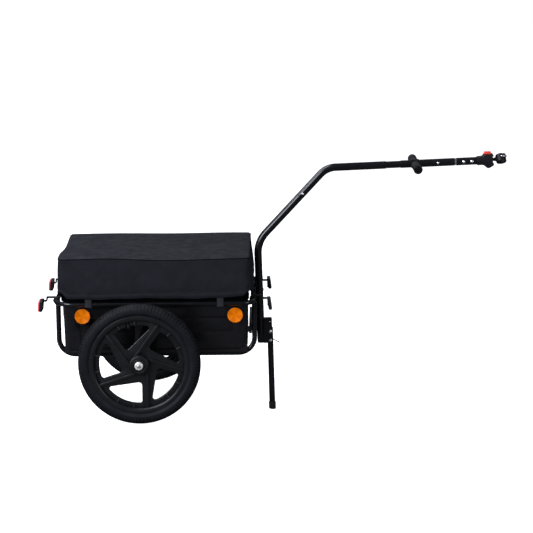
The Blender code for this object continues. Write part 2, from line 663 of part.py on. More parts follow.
def snap_button(end, place, inner, outer, trailer):
    """A domed lock button that stands out of both tubes on the right side and presses in."""
    radius = 0.0045
    hole = 2 * (radius + GAP)
    depth = 0.0050
    wall = BAR_TUBE / 2
    pocket = rod(place + Vector((0, -wall - 0.004, 0)), place + Vector((0, -depth + 0.001, 0)), hole, 12)
    cut(inner, f"snap_pocket_{end}", pocket)
    through = rod(place + Vector((0, -wall - 0.004, 0)), place + Vector((0, -depth, 0)), hole, 12)
    cut(outer, f"snap_hole_{end}", through)
    slide = empty(f"snap_button_{end}_slide", trailer, place)
    profile = [(0.0, depth + 0.0055), (radius, depth + 0.0055), (radius, wall + 0.0015),
               (radius * 0.72, wall + 0.0033), (0.0, wall + 0.0040)]
    shape = turned([(r, -a) for r, a in profile], "Y", 10)
    piece(f"snap_button_{end}", shape, "chrome", slide)


def make_handle(trailer):
    """The push handle: a crossbar on a collar round the bar, with a foam grip on each end."""
    centre = bar_point(CROSSBAR_X) - Vector((0, 0, 0.0015))
    bar_radius = 0.0100
    shaft = moved(rod((0, -CROSSBAR_HALF_LENGTH, 0), (0, CROSSBAR_HALF_LENGTH, 0), 2 * bar_radius, 14), centre)
    crossbar = piece("handle_crossbar", shaft, "black_paint", trailer)
    direction = Vector((math.cos(BAR_SLOPE), 0, math.sin(BAR_SLOPE)))
    middle = bar_point(CROSSBAR_X)
    collar = rod(middle - direction * 0.0125, middle + direction * 0.0125, BAR_TUBE + 0.0050, 18)
    fuse(crossbar, "crossbar_collar", collar)
    clear = BAR_TUBE + 2 * GAP
    cut(crossbar, "crossbar_bore", rod(middle - direction * 0.03, middle + direction * 0.03, clear, 12))
    half = [(bar_radius + GAP, CROSSBAR_HALF_LENGTH - 0.002), (GRIP_RADIUS - 0.002, CROSSBAR_HALF_LENGTH + 0.0005),
            (GRIP_RADIUS, CROSSBAR_HALF_LENGTH - 0.004), (GRIP_RADIUS, CROSSBAR_HALF_LENGTH - GRIP_LENGTH + 0.004),
            (GRIP_RADIUS - 0.002, CROSSBAR_HALF_LENGTH - GRIP_LENGTH),
            (bar_radius + GAP, CROSSBAR_HALF_LENGTH - GRIP_LENGTH)]
    for side, sign in (("right", -1), ("left", 1)):
        grip = turned([(radius, sign * along) for radius, along in half], "Y", 16, loop=True)
        piece(f"handle_grip_{side}", grip, "foam", trailer, centre)


# Hitch

def make_hitch(trailer):
    """Zinc shank, sleeve, moulded housing with its red button, and the ball stud with the seat-post clamp."""
    place = (HITCH_START[0], 0, HITCH_START[1])
    hitch = empty("hitch_line", trailer, place, (0, -BAR_SLOPE, 0))
    bore = SPIGOT + 2 * GAP
    shank = piece("hitch_shank", rod((-0.036, 0, 0), (0.088, 0, 0), SPIGOT, 12), "zinc", hitch)
    sleeve = rod((SLEEVE_START, 0, 0), (SLEEVE_END, 0, 0), BAR_TUBE, 12, bore=bore)
    sleeve = piece("hitch_sleeve", sleeve, "black_paint", hitch)
    hitch_bolts(hitch, shank, sleeve)
    hitch_housing(hitch)
    hitch_button(hitch)
    hitch_ball(hitch)


def hitch_bolts(hitch, shank, sleeve):
    """Two bolts across the sleeve and the shank, with their holes."""
    hole = 0.0033
    for number, ahead in enumerate((0.0295, 0.0565), start=1):
        for target in (shank, sleeve):
            drill = rod((ahead, -0.020, 0), (ahead, 0.020, 0), 2 * hole, 10)
            cut(target, f"{target.name}_bolt_hole_{number}", drill)
        wall = BAR_TUBE / 2 + GAP
        profile = [(0.0, -wall - 0.0030), (0.0040, -wall - 0.0027), (0.0055, -wall), (0.0030, -wall),
                   (0.0030, wall), (0.0055, wall), (0.0055, wall + 0.0040), (0.0, wall + 0.0040)]
        piece(f"hitch_bolt_{number}", moved(turned(profile, "Y", 10), (ahead, 0, 0)), "chrome", hitch)


def housing_outline():
    """Side view of the housing, in its own frame: a throat that opens to a deep rounded nose."""
    points = [((SLEEVE_END + GAP, -0.0132), 0.0), ((0.0935, -0.0130), 0.010), ((0.1075, -0.0250), 0.006),
              ((0.1150, -0.0240), 0.004), ((0.1285, -0.0165), 0.003), ((HOUSING_END, -0.0040), 0.004),
              ((HOUSING_END, 0.0100), 0.004), ((0.1272, 0.0215), 0.002), ((0.0985, 0.0225), 0.003),
              ((0.0925, 0.0142), 0.005), ((SLEEVE_END + GAP, 0.0132), 0.0)]
    return rounded_outline([(Vector(point), radius) for point, radius in points], 2)


def hitch_housing(hitch):
    """The moulded coupler: socket for the shank, ball chamber, side-to-side mouth and the button's well."""
    half_width = 0.0180
    shape = pierced_plate(housing_outline(), [], 2 * half_width)
    housing = piece("hitch_housing", shape, "black_plastic", hitch)
    rounding = housing.modifiers.new("edge_rounding", "BEVEL")
    rounding.width = 0.0035
    rounding.segments = 2
    rounding.limit_method = "ANGLE"
    rounding.angle_limit = math.radians(60)
    cut(housing, "housing_socket", rod((0.060, 0, 0), (0.0885, 0, 0), SPIGOT + 2 * GAP, 12))
    chamber = bmesh.new()
    bmesh.ops.create_uvsphere(chamber, u_segments=10, v_segments=6, radius=0.0150)
    cut(housing, "ball_chamber", moved(chamber, (BALL_AHEAD, 0, 0)))
    cut(housing, "housing_mouth", moved(mouth_wedge(), (BALL_AHEAD, 0, 0)))
    well = block((0.0975, -0.0085, 0.0110), (0.1215, 0.0085, 0.0400))
    cut(housing, "button_well", well)


def mouth_wedge():
    """The space that the stud sweeps as it turns from side to side and tips up and down."""
    reach = 0.045
    section = [(0.0020, -0.0050), (reach, -0.0050 - reach * math.tan(math.radians(14))),
               (reach, 0.0050 + reach * math.tan(math.radians(22))), (0.0020, 0.0050)]
    half_angle = math.radians(48)
    return turned(section, "Z", 8, -half_angle, 2 * half_angle, loop=True)


def hitch_button(hitch):
    """The red release button in its well on top of the housing."""
    slide = empty("hitch_button_slide", hitch, (0.1095, 0, 0.0200))
    shape = block((-0.0115, -0.0080, -0.0013), (0.0115, 0.0080, 0.0100), 0.0018)
    piece("hitch_button", shape, "red_button", slide)


def hitch_ball(hitch):
    """Ball cup, ball stud and the seat-post clamp, each on its own centre of motion."""
    centre = empty("hitch_yaw", hitch, (BALL_AHEAD, 0, 0))
    pitch = empty("hitch_pitch", centre, rotation=(0, -STUD_PITCH, 0))
    outer, inner = 0.0138, 0.0105
    opening = math.radians(48)
    steps = 5
    angles = [opening + (math.pi - opening) * k / steps for k in range(steps + 1)]
    profile = [(outer * math.sin(a), outer * math.cos(a)) for a in angles]
    profile += [(inner * math.sin(a), inner * math.cos(a)) for a in reversed(angles)]
    cup = turned(profile + profile[:1], "X", 14)
    piece("hitch_ball_cup", cup, "zinc", centre, rotation=(0, -STUD_PITCH, 0))

    neck = 0.0050
    ring_back = CLAMP_AHEAD - CLAMP_RADIUS
    start = math.asin(neck / BALL_RADIUS)
    ball_angles = [math.pi - (math.pi - start) * k / 5 for k in range(6)]
    stud = [(BALL_RADIUS * math.sin(a), BALL_RADIUS * math.cos(a)) for a in ball_angles]
    stud += [(neck, ring_back - 0.006), (0.0062, ring_back - 0.006), (0.0062, ring_back - 0.0022),
             (0.0, ring_back - 0.0022)]
    piece("hitch_ball_stud", turned(stud, "X", 14), "black_paint", pitch)
    roll = empty("clamp_roll", pitch, (CLAMP_AHEAD, 0, 0), (CLAMP_ROLL, 0, 0))
    seat_post_clamp(roll)


def seat_post_clamp(roll):
    """A split collar for the bicycle's seat post, with a screw across its ears."""
    split = empty("clamp_split", roll, rotation=(0, -CLAMP_SPLIT_TURN, 0))
    split_half, ear_thickness, ear_end, screw_x = 0.0030, 0.0036, 0.0232, 0.0196
    opening = math.asin(split_half / CLAMP_RADIUS)
    section = [(SEAT_POST_BORE, -CLAMP_WIDTH / 2), (CLAMP_RADIUS, -CLAMP_WIDTH / 2),
               (CLAMP_RADIUS, CLAMP_WIDTH / 2), (SEAT_POST_BORE, CLAMP_WIDTH / 2)]
    ring = turned(section, "Y", 14, math.pi / 2 + opening, 2 * math.pi - 2 * opening, loop=True)
    collar = piece("clamp_collar", ring, "black_plastic", split)
    for side, sign in (("upper", 1), ("lower", -1)):
        low, high = sorted((sign * split_half, sign * (split_half + ear_thickness)))
        ear = block((0.0144, -0.0090, low), (ear_end, 0.0090, high), 0.0010)
        fuse(collar, f"clamp_ear_{side}", ear)
    boss = rod((-CLAMP_RADIUS - 0.0018, 0, 0), (-CLAMP_RADIUS + 0.0025, 0, 0), 0.0170, 14)
    fuse(collar, "clamp_boss", moved(boss, turn=Matrix.Rotation(CLAMP_SPLIT_TURN, 3, "Y")))
    cut(collar, "clamp_screw_hole", rod((screw_x, 0, -0.0140), (screw_x, 0, 0.0140), 0.0056, 8))
    head = split_half + ear_thickness + GAP
    screw = [(0.0, -head - 0.0030), (0.0036, -head - 0.0030), (0.0036, -head), (0.0025, -head), (0.0025, head),
             (0.0036, head), (0.0036, head + 0.0035), (0.0, head + 0.0035)]
    piece("clamp_screw", turned(screw, "Z", 8), "zinc", split, (screw_x, 0, 0))


# Stand

def make_stand(trailer):
    """Channel bracket on the foot of the tow bar, the folding leg, its foot, pivot bolt and lock pin."""
    pivot = empty("stand_pivot", trailer, (STAND_PIVOT[0], 0, STAND_PIVOT[1]), (0, -STAND_LEAN, 0))
    ear_inner, ear_thickness = STAND_TUBE / 2 + 0.0006, 0.0024
    stand_bracket(pivot, ear_inner, ear_thickness)
    stand_leg(pivot)
    ear_outer = ear_inner + ear_thickness + GAP
    head = [(0.0, -ear_outer - 0.0045), (0.0045, -ear_outer - 0.0045), (0.0070, -ear_outer - 0.0015),
            (0.0070, -ear_outer), (0.0030, -ear_outer), (0.0030, ear_outer), (0.0055, ear_outer),
            (0.0055, ear_outer + 0.0050), (0.0, ear_outer + 0.0050)]
    piece("stand_pivot_bolt", turned(head, "Y", 12), "chrome", pivot)
    lock_pin(pivot, ear_inner, ear_outer)


def stand_bracket(pivot, ear_inner, ear_thickness):
    """A channel that opens forwards: a web against the tow bar and two ears beside the leg."""
    web_front = -0.0158
    web_back = web_front - 0.0020
    ear_outer = ear_inner + ear_thickness
    rear_edge, front_edge = -0.0236, 0.0075
    bottom, top = -0.0400, 0.0440
    ears = [(rear_edge, bottom), (front_edge, bottom), (front_edge, top), (rear_edge, top)]
    holes = [circle((0, height), 0.0033, 8) for height in (0.0, -PIN_DROP, PIN_DROP)]
    corners = [(Vector(point), 0.002) for point in ears]
    right = pierced_plate(rounded_outline(corners, 2), holes, ear_thickness)
    left = pierced_plate(rounded_outline(corners, 2), holes, ear_thickness)
    middle = ear_inner + ear_thickness / 2
    bracket = piece("stand_bracket", moved(right, (0, -middle, 0)), "black_paint", pivot)
    fuse(bracket, "stand_bracket_ear", moved(left, (0, middle, 0)))
    web = block((web_back, -ear_outer + 0.0004, bottom + 0.002), (web_front, ear_outer - 0.0004, top - 0.002))
    fuse(bracket, "stand_bracket_web", web)


def stand_leg(pivot):
    """The leg with its cross holes, and the rubber foot cut to the ground."""
    leg_top, leg_bottom = 0.0120, -STAND_FOOT_DROP + 0.0040
    leg = piece("stand_leg", rod((0, 0, leg_bottom), (0, 0, leg_top), STAND_TUBE, 14), "black_paint", pivot)
    for name, height in (("pivot", 0.0), ("pin", -PIN_DROP)):
        drill = rod((0, -0.020, height), (0, 0.020, height), 0.0066, 10)
        cut(leg, f"leg_{name}_hole", drill)
    inner, outer = STAND_TUBE / 2 + GAP, STAND_TUBE / 2 + 0.0018
    sides = 14
    slope = math.tan(nose_up() + STAND_LEAN)
    levels = [(outer - 0.0006, None), (outer, -STAND_FOOT_DROP + 0.0040), (outer - 0.0004, leg_bottom + 0.0200),
              (inner, leg_bottom + 0.0200), (inner, leg_bottom - GAP), (0.0, leg_bottom - GAP)]
    rings = [[Vector((0, 0, -STAND_FOOT_DROP))] * sides]
    for radius, height in levels:
        ring = []
        for k in range(sides):
            angle = 2 * math.pi * (k + 0.5) / sides
            x, y = radius * math.sin(angle), radius * math.cos(angle)
            ground = -STAND_FOOT_DROP - x * slope
            ring.append(Vector((x, y, ground if height is None else height)))
        rings.append(ring)
    piece("stand_foot", skin(rings, caps=False), "rubber", pivot)


def lock_pin(pivot, ear_inner, ear_outer):
    """The spring pin that locks the leg; it slides out to the right."""
    slide = empty("lock_pin_slide", pivot, (0, 0, -PIN_DROP))
    shaft_end = -ear_inner - 0.0002
    profile = [(0.0, shaft_end), (0.0028, shaft_end), (0.0028, -ear_outer), (0.0065, -ear_outer),
               (0.0065, -ear_outer - 0.0020), (0.0050, -ear_outer - 0.0060), (0.0, -ear_outer - 0.0060)]
    pin = piece("stand_lock_pin", turned(profile, "Y", 12), "chrome", slide)
    ring_path = fillet_path([(0, -ear_outer - 0.0040, 0.001), (0.0088, -ear_outer - 0.0040, 0.0050),
                             (0.0320, -ear_outer - 0.0040, -0.0085)], 0.0030, 3)
    fuse(pin, "lock_pin_tail", tube(ring_path, 0.0022, (0, 1, 0), 6))


# Tub

def rounded_ring(rear, front, half_width, radius, height, steps=3):
    """Points of a rounded rectangle at one height, anticlockwise from above."""
    points = []
    for x, y, start in ((front, half_width, 0), (rear, half_width, 90), (rear, -half_width, 180),
                        (front, -half_width, 270)):
        centre_x = x - math.copysign(radius, x)
        centre_y = y - math.copysign(radius, y)
        for k in range(steps + 1):
            angle = math.radians(start + 90 * k / steps)
            points.append(Vector((centre_x + radius * math.cos(angle), centre_y + radius * math.sin(angle), height)))
    return points


def tub_width(height):
    """Half the tub's outer width at a height: the side walls lean in towards the floor."""
    share = (height - TUB_BOTTOM) / (TUB_RIM_UNDERSIDE - TUB_BOTTOM)
    return TUB_FLOOR_HALF_WIDTH + (TUB_HALF_WIDTH - TUB_FLOOR_HALF_WIDTH) * share


def make_tub(trailer):
    """The moulded tub: one wall all round, a stepped side, a flat floor and a rim that hangs on the hoop."""
    lift = empty("tub_lift", trailer, (0, 0, HOOP_HEIGHT))
    step = 0.338

    def wall(height, side_inset, end_inset, radius):
        return rounded_ring(TUB_REAR + end_inset, TUB_FRONT - end_inset, tub_width(height) - side_inset, radius, height)

    inside = TUB_WALL
    rings = [wall(TUB_BOTTOM, 0.0090, 0.0205, 0.018), wall(TUB_BOTTOM + 0.0090, 0.0035, 0.0060, 0.021),
             wall(TUB_BOTTOM + 0.0185, 0.0035, 0.0010, 0.022), wall(step - 0.006, 0.0035, 0.0010, 0.023),
             wall(step, 0.0, 0.0, 0.024), wall(TUB_RIM_UNDERSIDE, 0.0, 0.0, 0.024),
             rounded_ring(RIM_REAR + 0.0008, RIM_FRONT - 0.0008, RIM_HALF_WIDTH_TUB - 0.002, 0.036, TUB_RIM_UNDERSIDE),
             rounded_ring(RIM_REAR, RIM_FRONT, RIM_HALF_WIDTH_TUB, 0.037, TUB_RIM_UNDERSIDE + 0.002),
             rounded_ring(RIM_REAR, RIM_FRONT, RIM_HALF_WIDTH_TUB, 0.037, RIM_TOP - 0.003),
             rounded_ring(RIM_REAR + 0.002, RIM_FRONT - 0.002, RIM_HALF_WIDTH_TUB - 0.003, 0.036, RIM_TOP),
             wall(RIM_TOP, inside + 0.0035, inside + 0.0010, 0.022), wall(step, inside, inside, 0.021),
             wall(step - 0.006, inside + 0.0035, inside + 0.0010, 0.020),
             wall(TUB_BOTTOM + 0.0200, inside + 0.0035, inside + 0.0010, 0.019),
             wall(TUB_BOTTOM + 0.0110, inside + 0.0035, inside + 0.0065, 0.018),
             wall(TUB_BOTTOM + TUB_WALL, 0.0125, 0.0240, 0.015)]
    tub = piece("tub", moved(skin(rings), (0, 0, -HOOP_HEIGHT)), "black_plastic", lift)
    side_reflectors(tub, lift)
    return tub


def side_reflectors(tub, lift):
    """Four round amber reflectors on the tub's side walls, each on a moulded seat."""
    wall = tub_width(SIDE_REFLECTOR_HEIGHT)
    lens_back = SIDE_REFLECTOR_FACE - 0.0040
    for end, x in zip(("rear", "front"), SIDE_REFLECTOR_X):
        for side, sign in (("right", -1), ("left", 1)):
            centre = (x, 0, SIDE_REFLECTOR_HEIGHT - HOOP_HEIGHT)
            seat = [(0.0, wall - 0.0090), (SIDE_REFLECTOR_RADIUS - 0.0010, wall - 0.0090),
                    (SIDE_REFLECTOR_RADIUS - 0.0010, lens_back - GAP), (0.0, lens_back - GAP)]
            shape = moved(turned([(r, sign * a) for r, a in seat], "Y", 20), centre)
            fuse(tub, f"reflector_seat_{end}_{side}", shape)
            lens = [(0.0, lens_back), (SIDE_REFLECTOR_RADIUS, lens_back),
                    (SIDE_REFLECTOR_RADIUS, SIDE_REFLECTOR_FACE - 0.0012),
                    (SIDE_REFLECTOR_RADIUS - 0.0015, SIDE_REFLECTOR_FACE), (0.0, SIDE_REFLECTOR_FACE)]
            shape = turned([(r, sign * a) for r, a in lens], "Y", 20)
            piece(f"amber_reflector_{end}_{side}", shape, "amber_lens", lift, centre)


# Cover

def cover_ring(height, rear, front, corner, swell=0.0, sag=0.0, notch=0.0):
    """One level of the cover: a rounded rectangle that swells outwards between its corners.

    The top sags by the given amount between its corners, and the hem rises by the notch at each of them.
    """
    half_width, steps = COVER_HALF_WIDTH, 4
    points = []
    for start, (x, y) in ((0, (front, half_width)), (90, (rear, half_width)), (180, (rear, -half_width)),
                          (270, (front, -half_width))):
        centre_x = x - math.copysign(corner, x)
        centre_y = y - math.copysign(corner, y)
        for k in range(steps + 1):
            angle = math.radians(start + 90 * k / steps)
            rise = notch if 0 < k < steps else 0.0
            points.append([centre_x + corner * math.cos(angle), centre_y + corner * math.sin(angle), height + rise])
        points.extend(side_points(start, rear, front, height))
    middle_x = (rear + front) / 2
    half_length = (front - rear) / 2
    for point in points:
        along = (point[0] - middle_x) / half_length
        across = point[1] / half_width
        point[0] += swell * math.copysign(1 - across * across, along) * (abs(along) > 0.9)
        point[1] += swell * math.copysign(1 - along * along, across) * (abs(across) > 0.9)
        point[2] -= sag * (1 - along * along) * (abs(across) > 0.9)
        point[2] -= sag * (1 - across * across) * (abs(along) > 0.9)
    return [Vector(point) for point in points]


def side_points(start, rear, front, height):
    """Points between two corners, so that the cloth can swell and sag there."""
    half_width = COVER_HALF_WIDTH
    shares = [0.2, 0.4, 0.6, 0.8]
    if start == 0:
        return [[front + (rear - front) * share, half_width, height] for share in shares]
    if start == 90:
        return [[rear, half_width * (1 - 2 * share), height] for share in shares]
    if start == 180:
        return [[rear + (front - rear) * share, -half_width, height] for share in shares]
    return [[front, -half_width * (1 - 2 * share), height] for share in shares]


def shrunk(ring, inset):
    """A ring drawn in towards the middle of the cover by the inset."""
    middle_x = (COVER_REAR + COVER_FRONT) / 2
    reach_x = (COVER_FRONT - COVER_REAR) / 2
    drawn = []
    for point in ring:
        x = middle_x + (point.x - middle_x) * (1 - inset / reach_x)
        y = point.y * (1 - inset / COVER_HALF_WIDTH)
        drawn.append(Vector((x, y, point.z)))
    return drawn


def make_cover(lift):
    """The fabric cover: a boxy hood over the tub's rim with a soft, slightly crowned top."""
    raise_point = empty("cover_lift", lift)
    top_rear, top_front = COVER_REAR + 0.0065, COVER_FRONT - 0.0110
    outer = [cover_ring(COVER_HEM, COVER_REAR + 0.0005, COVER_FRONT - 0.0005, 0.034, notch=COVER_NOTCH),
             cover_ring(COVER_HEM + 0.035, COVER_REAR, COVER_FRONT, 0.032, 0.0015),
             cover_ring(COVER_HEM + 0.085, COVER_REAR + 0.0015, COVER_FRONT - 0.0055, 0.028, 0.0015),
             cover_ring(COVER_TOP - 0.006, top_rear - 0.0008, top_front + 0.0008, 0.024, 0.0008, 0.0020),
             shrunk(cover_ring(COVER_TOP, top_rear, top_front, 0.022, 0.0, 0.0020), 0.005)]
    for share, rise in ((0.30, 0.0022), (0.60, 0.0035), (0.85, 0.0040)):
        level = shrunk(cover_ring(COVER_TOP + rise, top_rear, top_front, 0.022), share * COVER_HALF_WIDTH)
        outer.append(level)
    inner = []
    for ring in reversed(outer):
        drop = COVER_THICKNESS if ring[0].z > COVER_TOP - 0.001 else 0.0
        inset = shrunk(ring, COVER_THICKNESS)
        inner.append([point - Vector((0, 0, drop)) for point in inset])
    top = closed_shell(outer, inner)
    cover = piece("cover", moved(top, (0, 0, -HOOP_HEIGHT)), "cover_fabric", raise_point)
    for end, x in zip(("rear", "front"), STRAP_X):
        for side, sign in (("right", -1), ("left", 1)):
            fuse(cover, f"cover_strap_{end}_{side}", strap_tab(x, sign))
    return cover


def closed_shell(outer, inner):
    """A shell from two stacks of rings that meet at the hem; each stack's top ring is capped."""
    shape = bmesh.new()
    drawn = [[shape.verts.new(point) for point in ring] for ring in outer]
    lining = [[shape.verts.new(point) for point in ring] for ring in inner]
    count = len(drawn[0])
    for stack in (drawn, lining, [lining[-1], drawn[0]]):
        for ring, following in zip(stack, stack[1:]):
            for i in range(count):
                j = (i + 1) % count
                shape.faces.new((ring[i], ring[j], following[j], following[i]))
    shape.faces.new(drawn[-1])
    shape.faces.new(lining[0])
    return shape


def strap_tab(x, sign):
    """A webbing tab sewn inside the hem, hanging between the tub's rim and the hoop's outer side."""
    inner_face, outer_face, sewn_face = 0.2236, 0.2258, COVER_HALF_WIDTH - 0.0010
    outline = [(inner_face, 0.3760), (outer_face, 0.3760), (outer_face, COVER_HEM - 0.0005),
               (sewn_face, COVER_HEM + 0.0020), (sewn_face, 0.4280), (inner_face, 0.4280)]
    rings = [[Vector((x + half, sign * y, z - HOOP_HEIGHT)) for y, z in outline] for half in (-0.0105, 0.0105)]
    return skin(rings)


# End reflectors

def make_end_reflector(end, side, facing, sign, trailer):
    """A reflector on an arm from the hoop: clip over the tube, stepped arm, black housing and lens.

    facing is -1 at the rear of the trailer and +1 at the front.
    """
    tube_x = HOOP_REAR if facing < 0 else HOOP_FRONT
    lens_colour = "red_lens" if facing < 0 else "clear_lens"
    half_width, thickness = 0.0080, 0.0025
    step_drop = 0.0120 if facing < 0 else 0.0095
    clamp_y = sign * BRACKET_Y
    radius = HOOP_TUBE / 2 + GAP
    collar = [(radius, -half_width), (radius + 0.0032, -half_width), (radius + 0.0032, half_width), (radius, half_width)]
    clip = turned(collar, "Y", 7, math.radians(-105), math.radians(210), loop=True)
    clamp = moved(clip, (tube_x, clamp_y, HOOP_HEIGHT))
    bracket = piece(f"reflector_bracket_{end}_{side}", clamp, "black_plastic", trailer)

    back = END_REFLECTOR_FACE[facing] - facing * 0.0122
    arm_top = HOOP_HEIGHT + 0.0135
    step = tube_x + facing * 0.0345
    lower_top = arm_top - step_drop
    low_edge = END_REFLECTOR_HEIGHT - 0.0120
    strips = [(tube_x + facing * 0.0028, step, arm_top - thickness, arm_top),
              (step - facing * thickness, step, lower_top - thickness, arm_top - 0.0003),
              (step - facing * 0.0020, back + facing * thickness, lower_top - thickness, lower_top),
              (back, back + facing * thickness, low_edge, lower_top - 0.0003),
              (tube_x + facing * 0.0030, tube_x + facing * 0.0085, HOOP_HEIGHT + radius, arm_top - 0.0004)]
    for number, (x_one, x_two, z_low, z_high) in enumerate(strips):
        x_low, x_high = sorted((x_one, x_two))
        inset = half_width - 0.0002 * (number + 1)
        strip = block((x_low, clamp_y - inset, z_low), (x_high, clamp_y + inset, z_high))
        fuse(bracket, f"{bracket.name}_strip_{number}", strip)

    shell_depth = 0.0058
    tilt = math.radians(5) if facing < 0 else math.radians(8)
    seat = (back + facing * (thickness - 0.0008), sign * END_REFLECTOR_Y, END_REFLECTOR_HEIGHT)
    shell = lofted_block(end_reflector_outline(0.0268, 0.0180), 0.0, shell_depth, facing, tilt)
    fuse(bracket, f"{bracket.name}_shell", moved(shell, seat))
    lens = lofted_block(end_reflector_outline(0.0256, 0.0170), shell_depth + GAP, 0.0105, facing, tilt)
    piece(f"reflector_lens_{end}_{side}", moved(lens, seat), lens_colour, trailer)


def end_reflector_outline(half_width, half_height):
    """Rounded rectangle of an end reflector, seen from its front."""
    corners = [(-half_width, -half_height), (half_width, -half_height), (half_width, half_height),
               (-half_width, half_height)]
    return rounded_outline([(Vector(corner), 0.006) for corner in corners], 2)


def lofted_block(outline, near, far, facing, tilt):
    """An outline in the YZ plane drawn out along X; its lower edge leans away from the trailer."""
    rings = []
    for depth in (near, far):
        rings.append([Vector((facing * (depth - z * math.tan(tilt)), y, z)) for y, z in outline])
    return skin(rings)


# Assembly

def nose_up():
    """The angle that brings the foot of the stand down to the ground that the wheels stand on."""
    foot_x = STAND_PIVOT[0] + STAND_FOOT_DROP * math.sin(STAND_LEAN)
    foot_below_axle = WHEEL_RADIUS - STAND_PIVOT[1] + STAND_FOOT_DROP * math.cos(STAND_LEAN)
    reach = math.hypot(foot_x, foot_below_axle)
    return math.atan2(foot_below_axle, foot_x) - math.asin(WHEEL_RADIUS / reach)


def centre_on_footprint(trailer):
    """Shift the trailer along X until the middle of its overall length is at X = 0."""
    bpy.context.view_layer.update()
    graph = bpy.context.evaluated_depsgraph_get()
    reach = []
    for made in bpy.context.scene.objects:
        if made.type == "MESH" and not made.hide_render:
            seen = made.evaluated_get(graph)
            reach.extend((made.matrix_world @ vert.co).x for vert in seen.data.vertices)
    trailer.location.x -= (min(reach) + max(reach)) / 2
    bpy.context.view_layer.update()


def main():
    """Build the trailer."""
    clear_scene()
    tilt = nose_up()
    ground_shift = (WHEEL_RADIUS * math.sin(tilt), 0, WHEEL_RADIUS * (1 - math.cos(tilt)))
    trailer = empty("trailer", None, ground_shift, (0, -tilt, 0))

    hoop = make_hoop(trailer)
    make_cross_members(trailer)
    for side, sign in (("right", -1), ("left", 1)):
        make_rail(side, sign, trailer)
        make_axle_plate(side, sign, trailer)
        make_axle(side, sign, trailer)
        make_end_reflector("rear", side, -1, sign, trailer)
        make_end_reflector("front", side, 1, sign, trailer)
    make_wheels(trailer)
    lower = make_tow_bar(trailer)
    make_handle(trailer)
    make_hitch(trailer)
    make_bar_mounting(lower, hoop, trailer)
    make_stand(trailer)
    tub = make_tub(trailer)
    make_cover(tub.parent)
    centre_on_footprint(trailer)


main()
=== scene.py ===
"""Looks of the bike cargo trailer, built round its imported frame.

Sizes are in metres. Each piece is drawn in the trailer's own level frame: X forwards from the wheels' axle, Y to
the left and Z up from the ground below level wheels. One matrix then tips it nose-up with the whole trailer.
"""

import json
import logging
from dataclasses import dataclass, replace
from enum import Enum
from functools import cache, cached_property
from math import asin, atan2, copysign, cos, exp, pi, radians, sin, sqrt, tan, tau
from typing import Iterable, NamedTuple, Sequence

import bmesh
import bpy
from mathutils import Matrix, Vector, noise


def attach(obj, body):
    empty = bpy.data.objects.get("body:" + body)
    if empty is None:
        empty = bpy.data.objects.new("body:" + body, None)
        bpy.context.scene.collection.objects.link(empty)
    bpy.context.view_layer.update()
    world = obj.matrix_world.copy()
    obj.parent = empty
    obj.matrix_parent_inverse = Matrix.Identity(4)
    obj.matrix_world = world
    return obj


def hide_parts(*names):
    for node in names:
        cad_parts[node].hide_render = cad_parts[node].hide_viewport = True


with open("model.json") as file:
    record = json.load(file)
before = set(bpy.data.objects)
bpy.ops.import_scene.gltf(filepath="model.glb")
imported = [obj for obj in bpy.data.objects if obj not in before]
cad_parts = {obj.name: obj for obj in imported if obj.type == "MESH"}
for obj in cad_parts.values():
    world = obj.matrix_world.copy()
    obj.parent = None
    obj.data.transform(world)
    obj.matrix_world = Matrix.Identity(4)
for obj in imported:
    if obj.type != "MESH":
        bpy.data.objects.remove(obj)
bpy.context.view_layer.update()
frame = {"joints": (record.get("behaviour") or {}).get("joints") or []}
LOG = logging.getLogger("trailer")

Node, Socket, Tree = bpy.types.Node, bpy.types.NodeSocket, bpy.types.NodeTree
Shape, Thing = bmesh.types.BMesh, bpy.types.Object
Ring = Sequence[Vector]
Profile = Sequence[tuple[float, float]]
Point = tuple[float, float, float]

WHEEL_RADIUS = 0.2
HALF_TRACK = 0.28
CLEARANCE = 0.0003
ORIGIN = Matrix.Identity(4)
X, Y, Z = Vector((1, 0, 0)), Vector((0, 1, 0)), Vector((0, 0, 1))


class Way(Enum):
    """A direction whose name is part of its pieces' names."""

    @property
    def label(self) -> str:
        """The name as the pieces spell it."""
        return self.name.lower()


class Side(Way):
    """Left and right of the trailer, as the sign of Y."""

    RIGHT = -1
    LEFT = 1


class End(Way):
    """Rear and front of the trailer, as the sign of X."""

    REAR = -1
    FRONT = 1


def level_matrix() -> Matrix:
    """Place the level frame in the world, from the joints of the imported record.

    Returns:
        The matrix that tips the trailer nose-up about the ground under its wheels.
    """
    joints = {joint["name"]: joint for joint in frame["joints"]}
    up, axle = joints["tub_lift"]["axis"], joints["wheel_right_spin"]["pos_m"]
    tilt = atan2(-up[0], up[2])
    shift = (axle[0] + WHEEL_RADIUS * sin(tilt), 0.0, WHEEL_RADIUS * (1 - cos(tilt)))
    return Matrix.Translation(shift) @ Matrix.Rotation(-tilt, 4, "Y")


LEVEL = level_matrix()


# Wiring of node trees

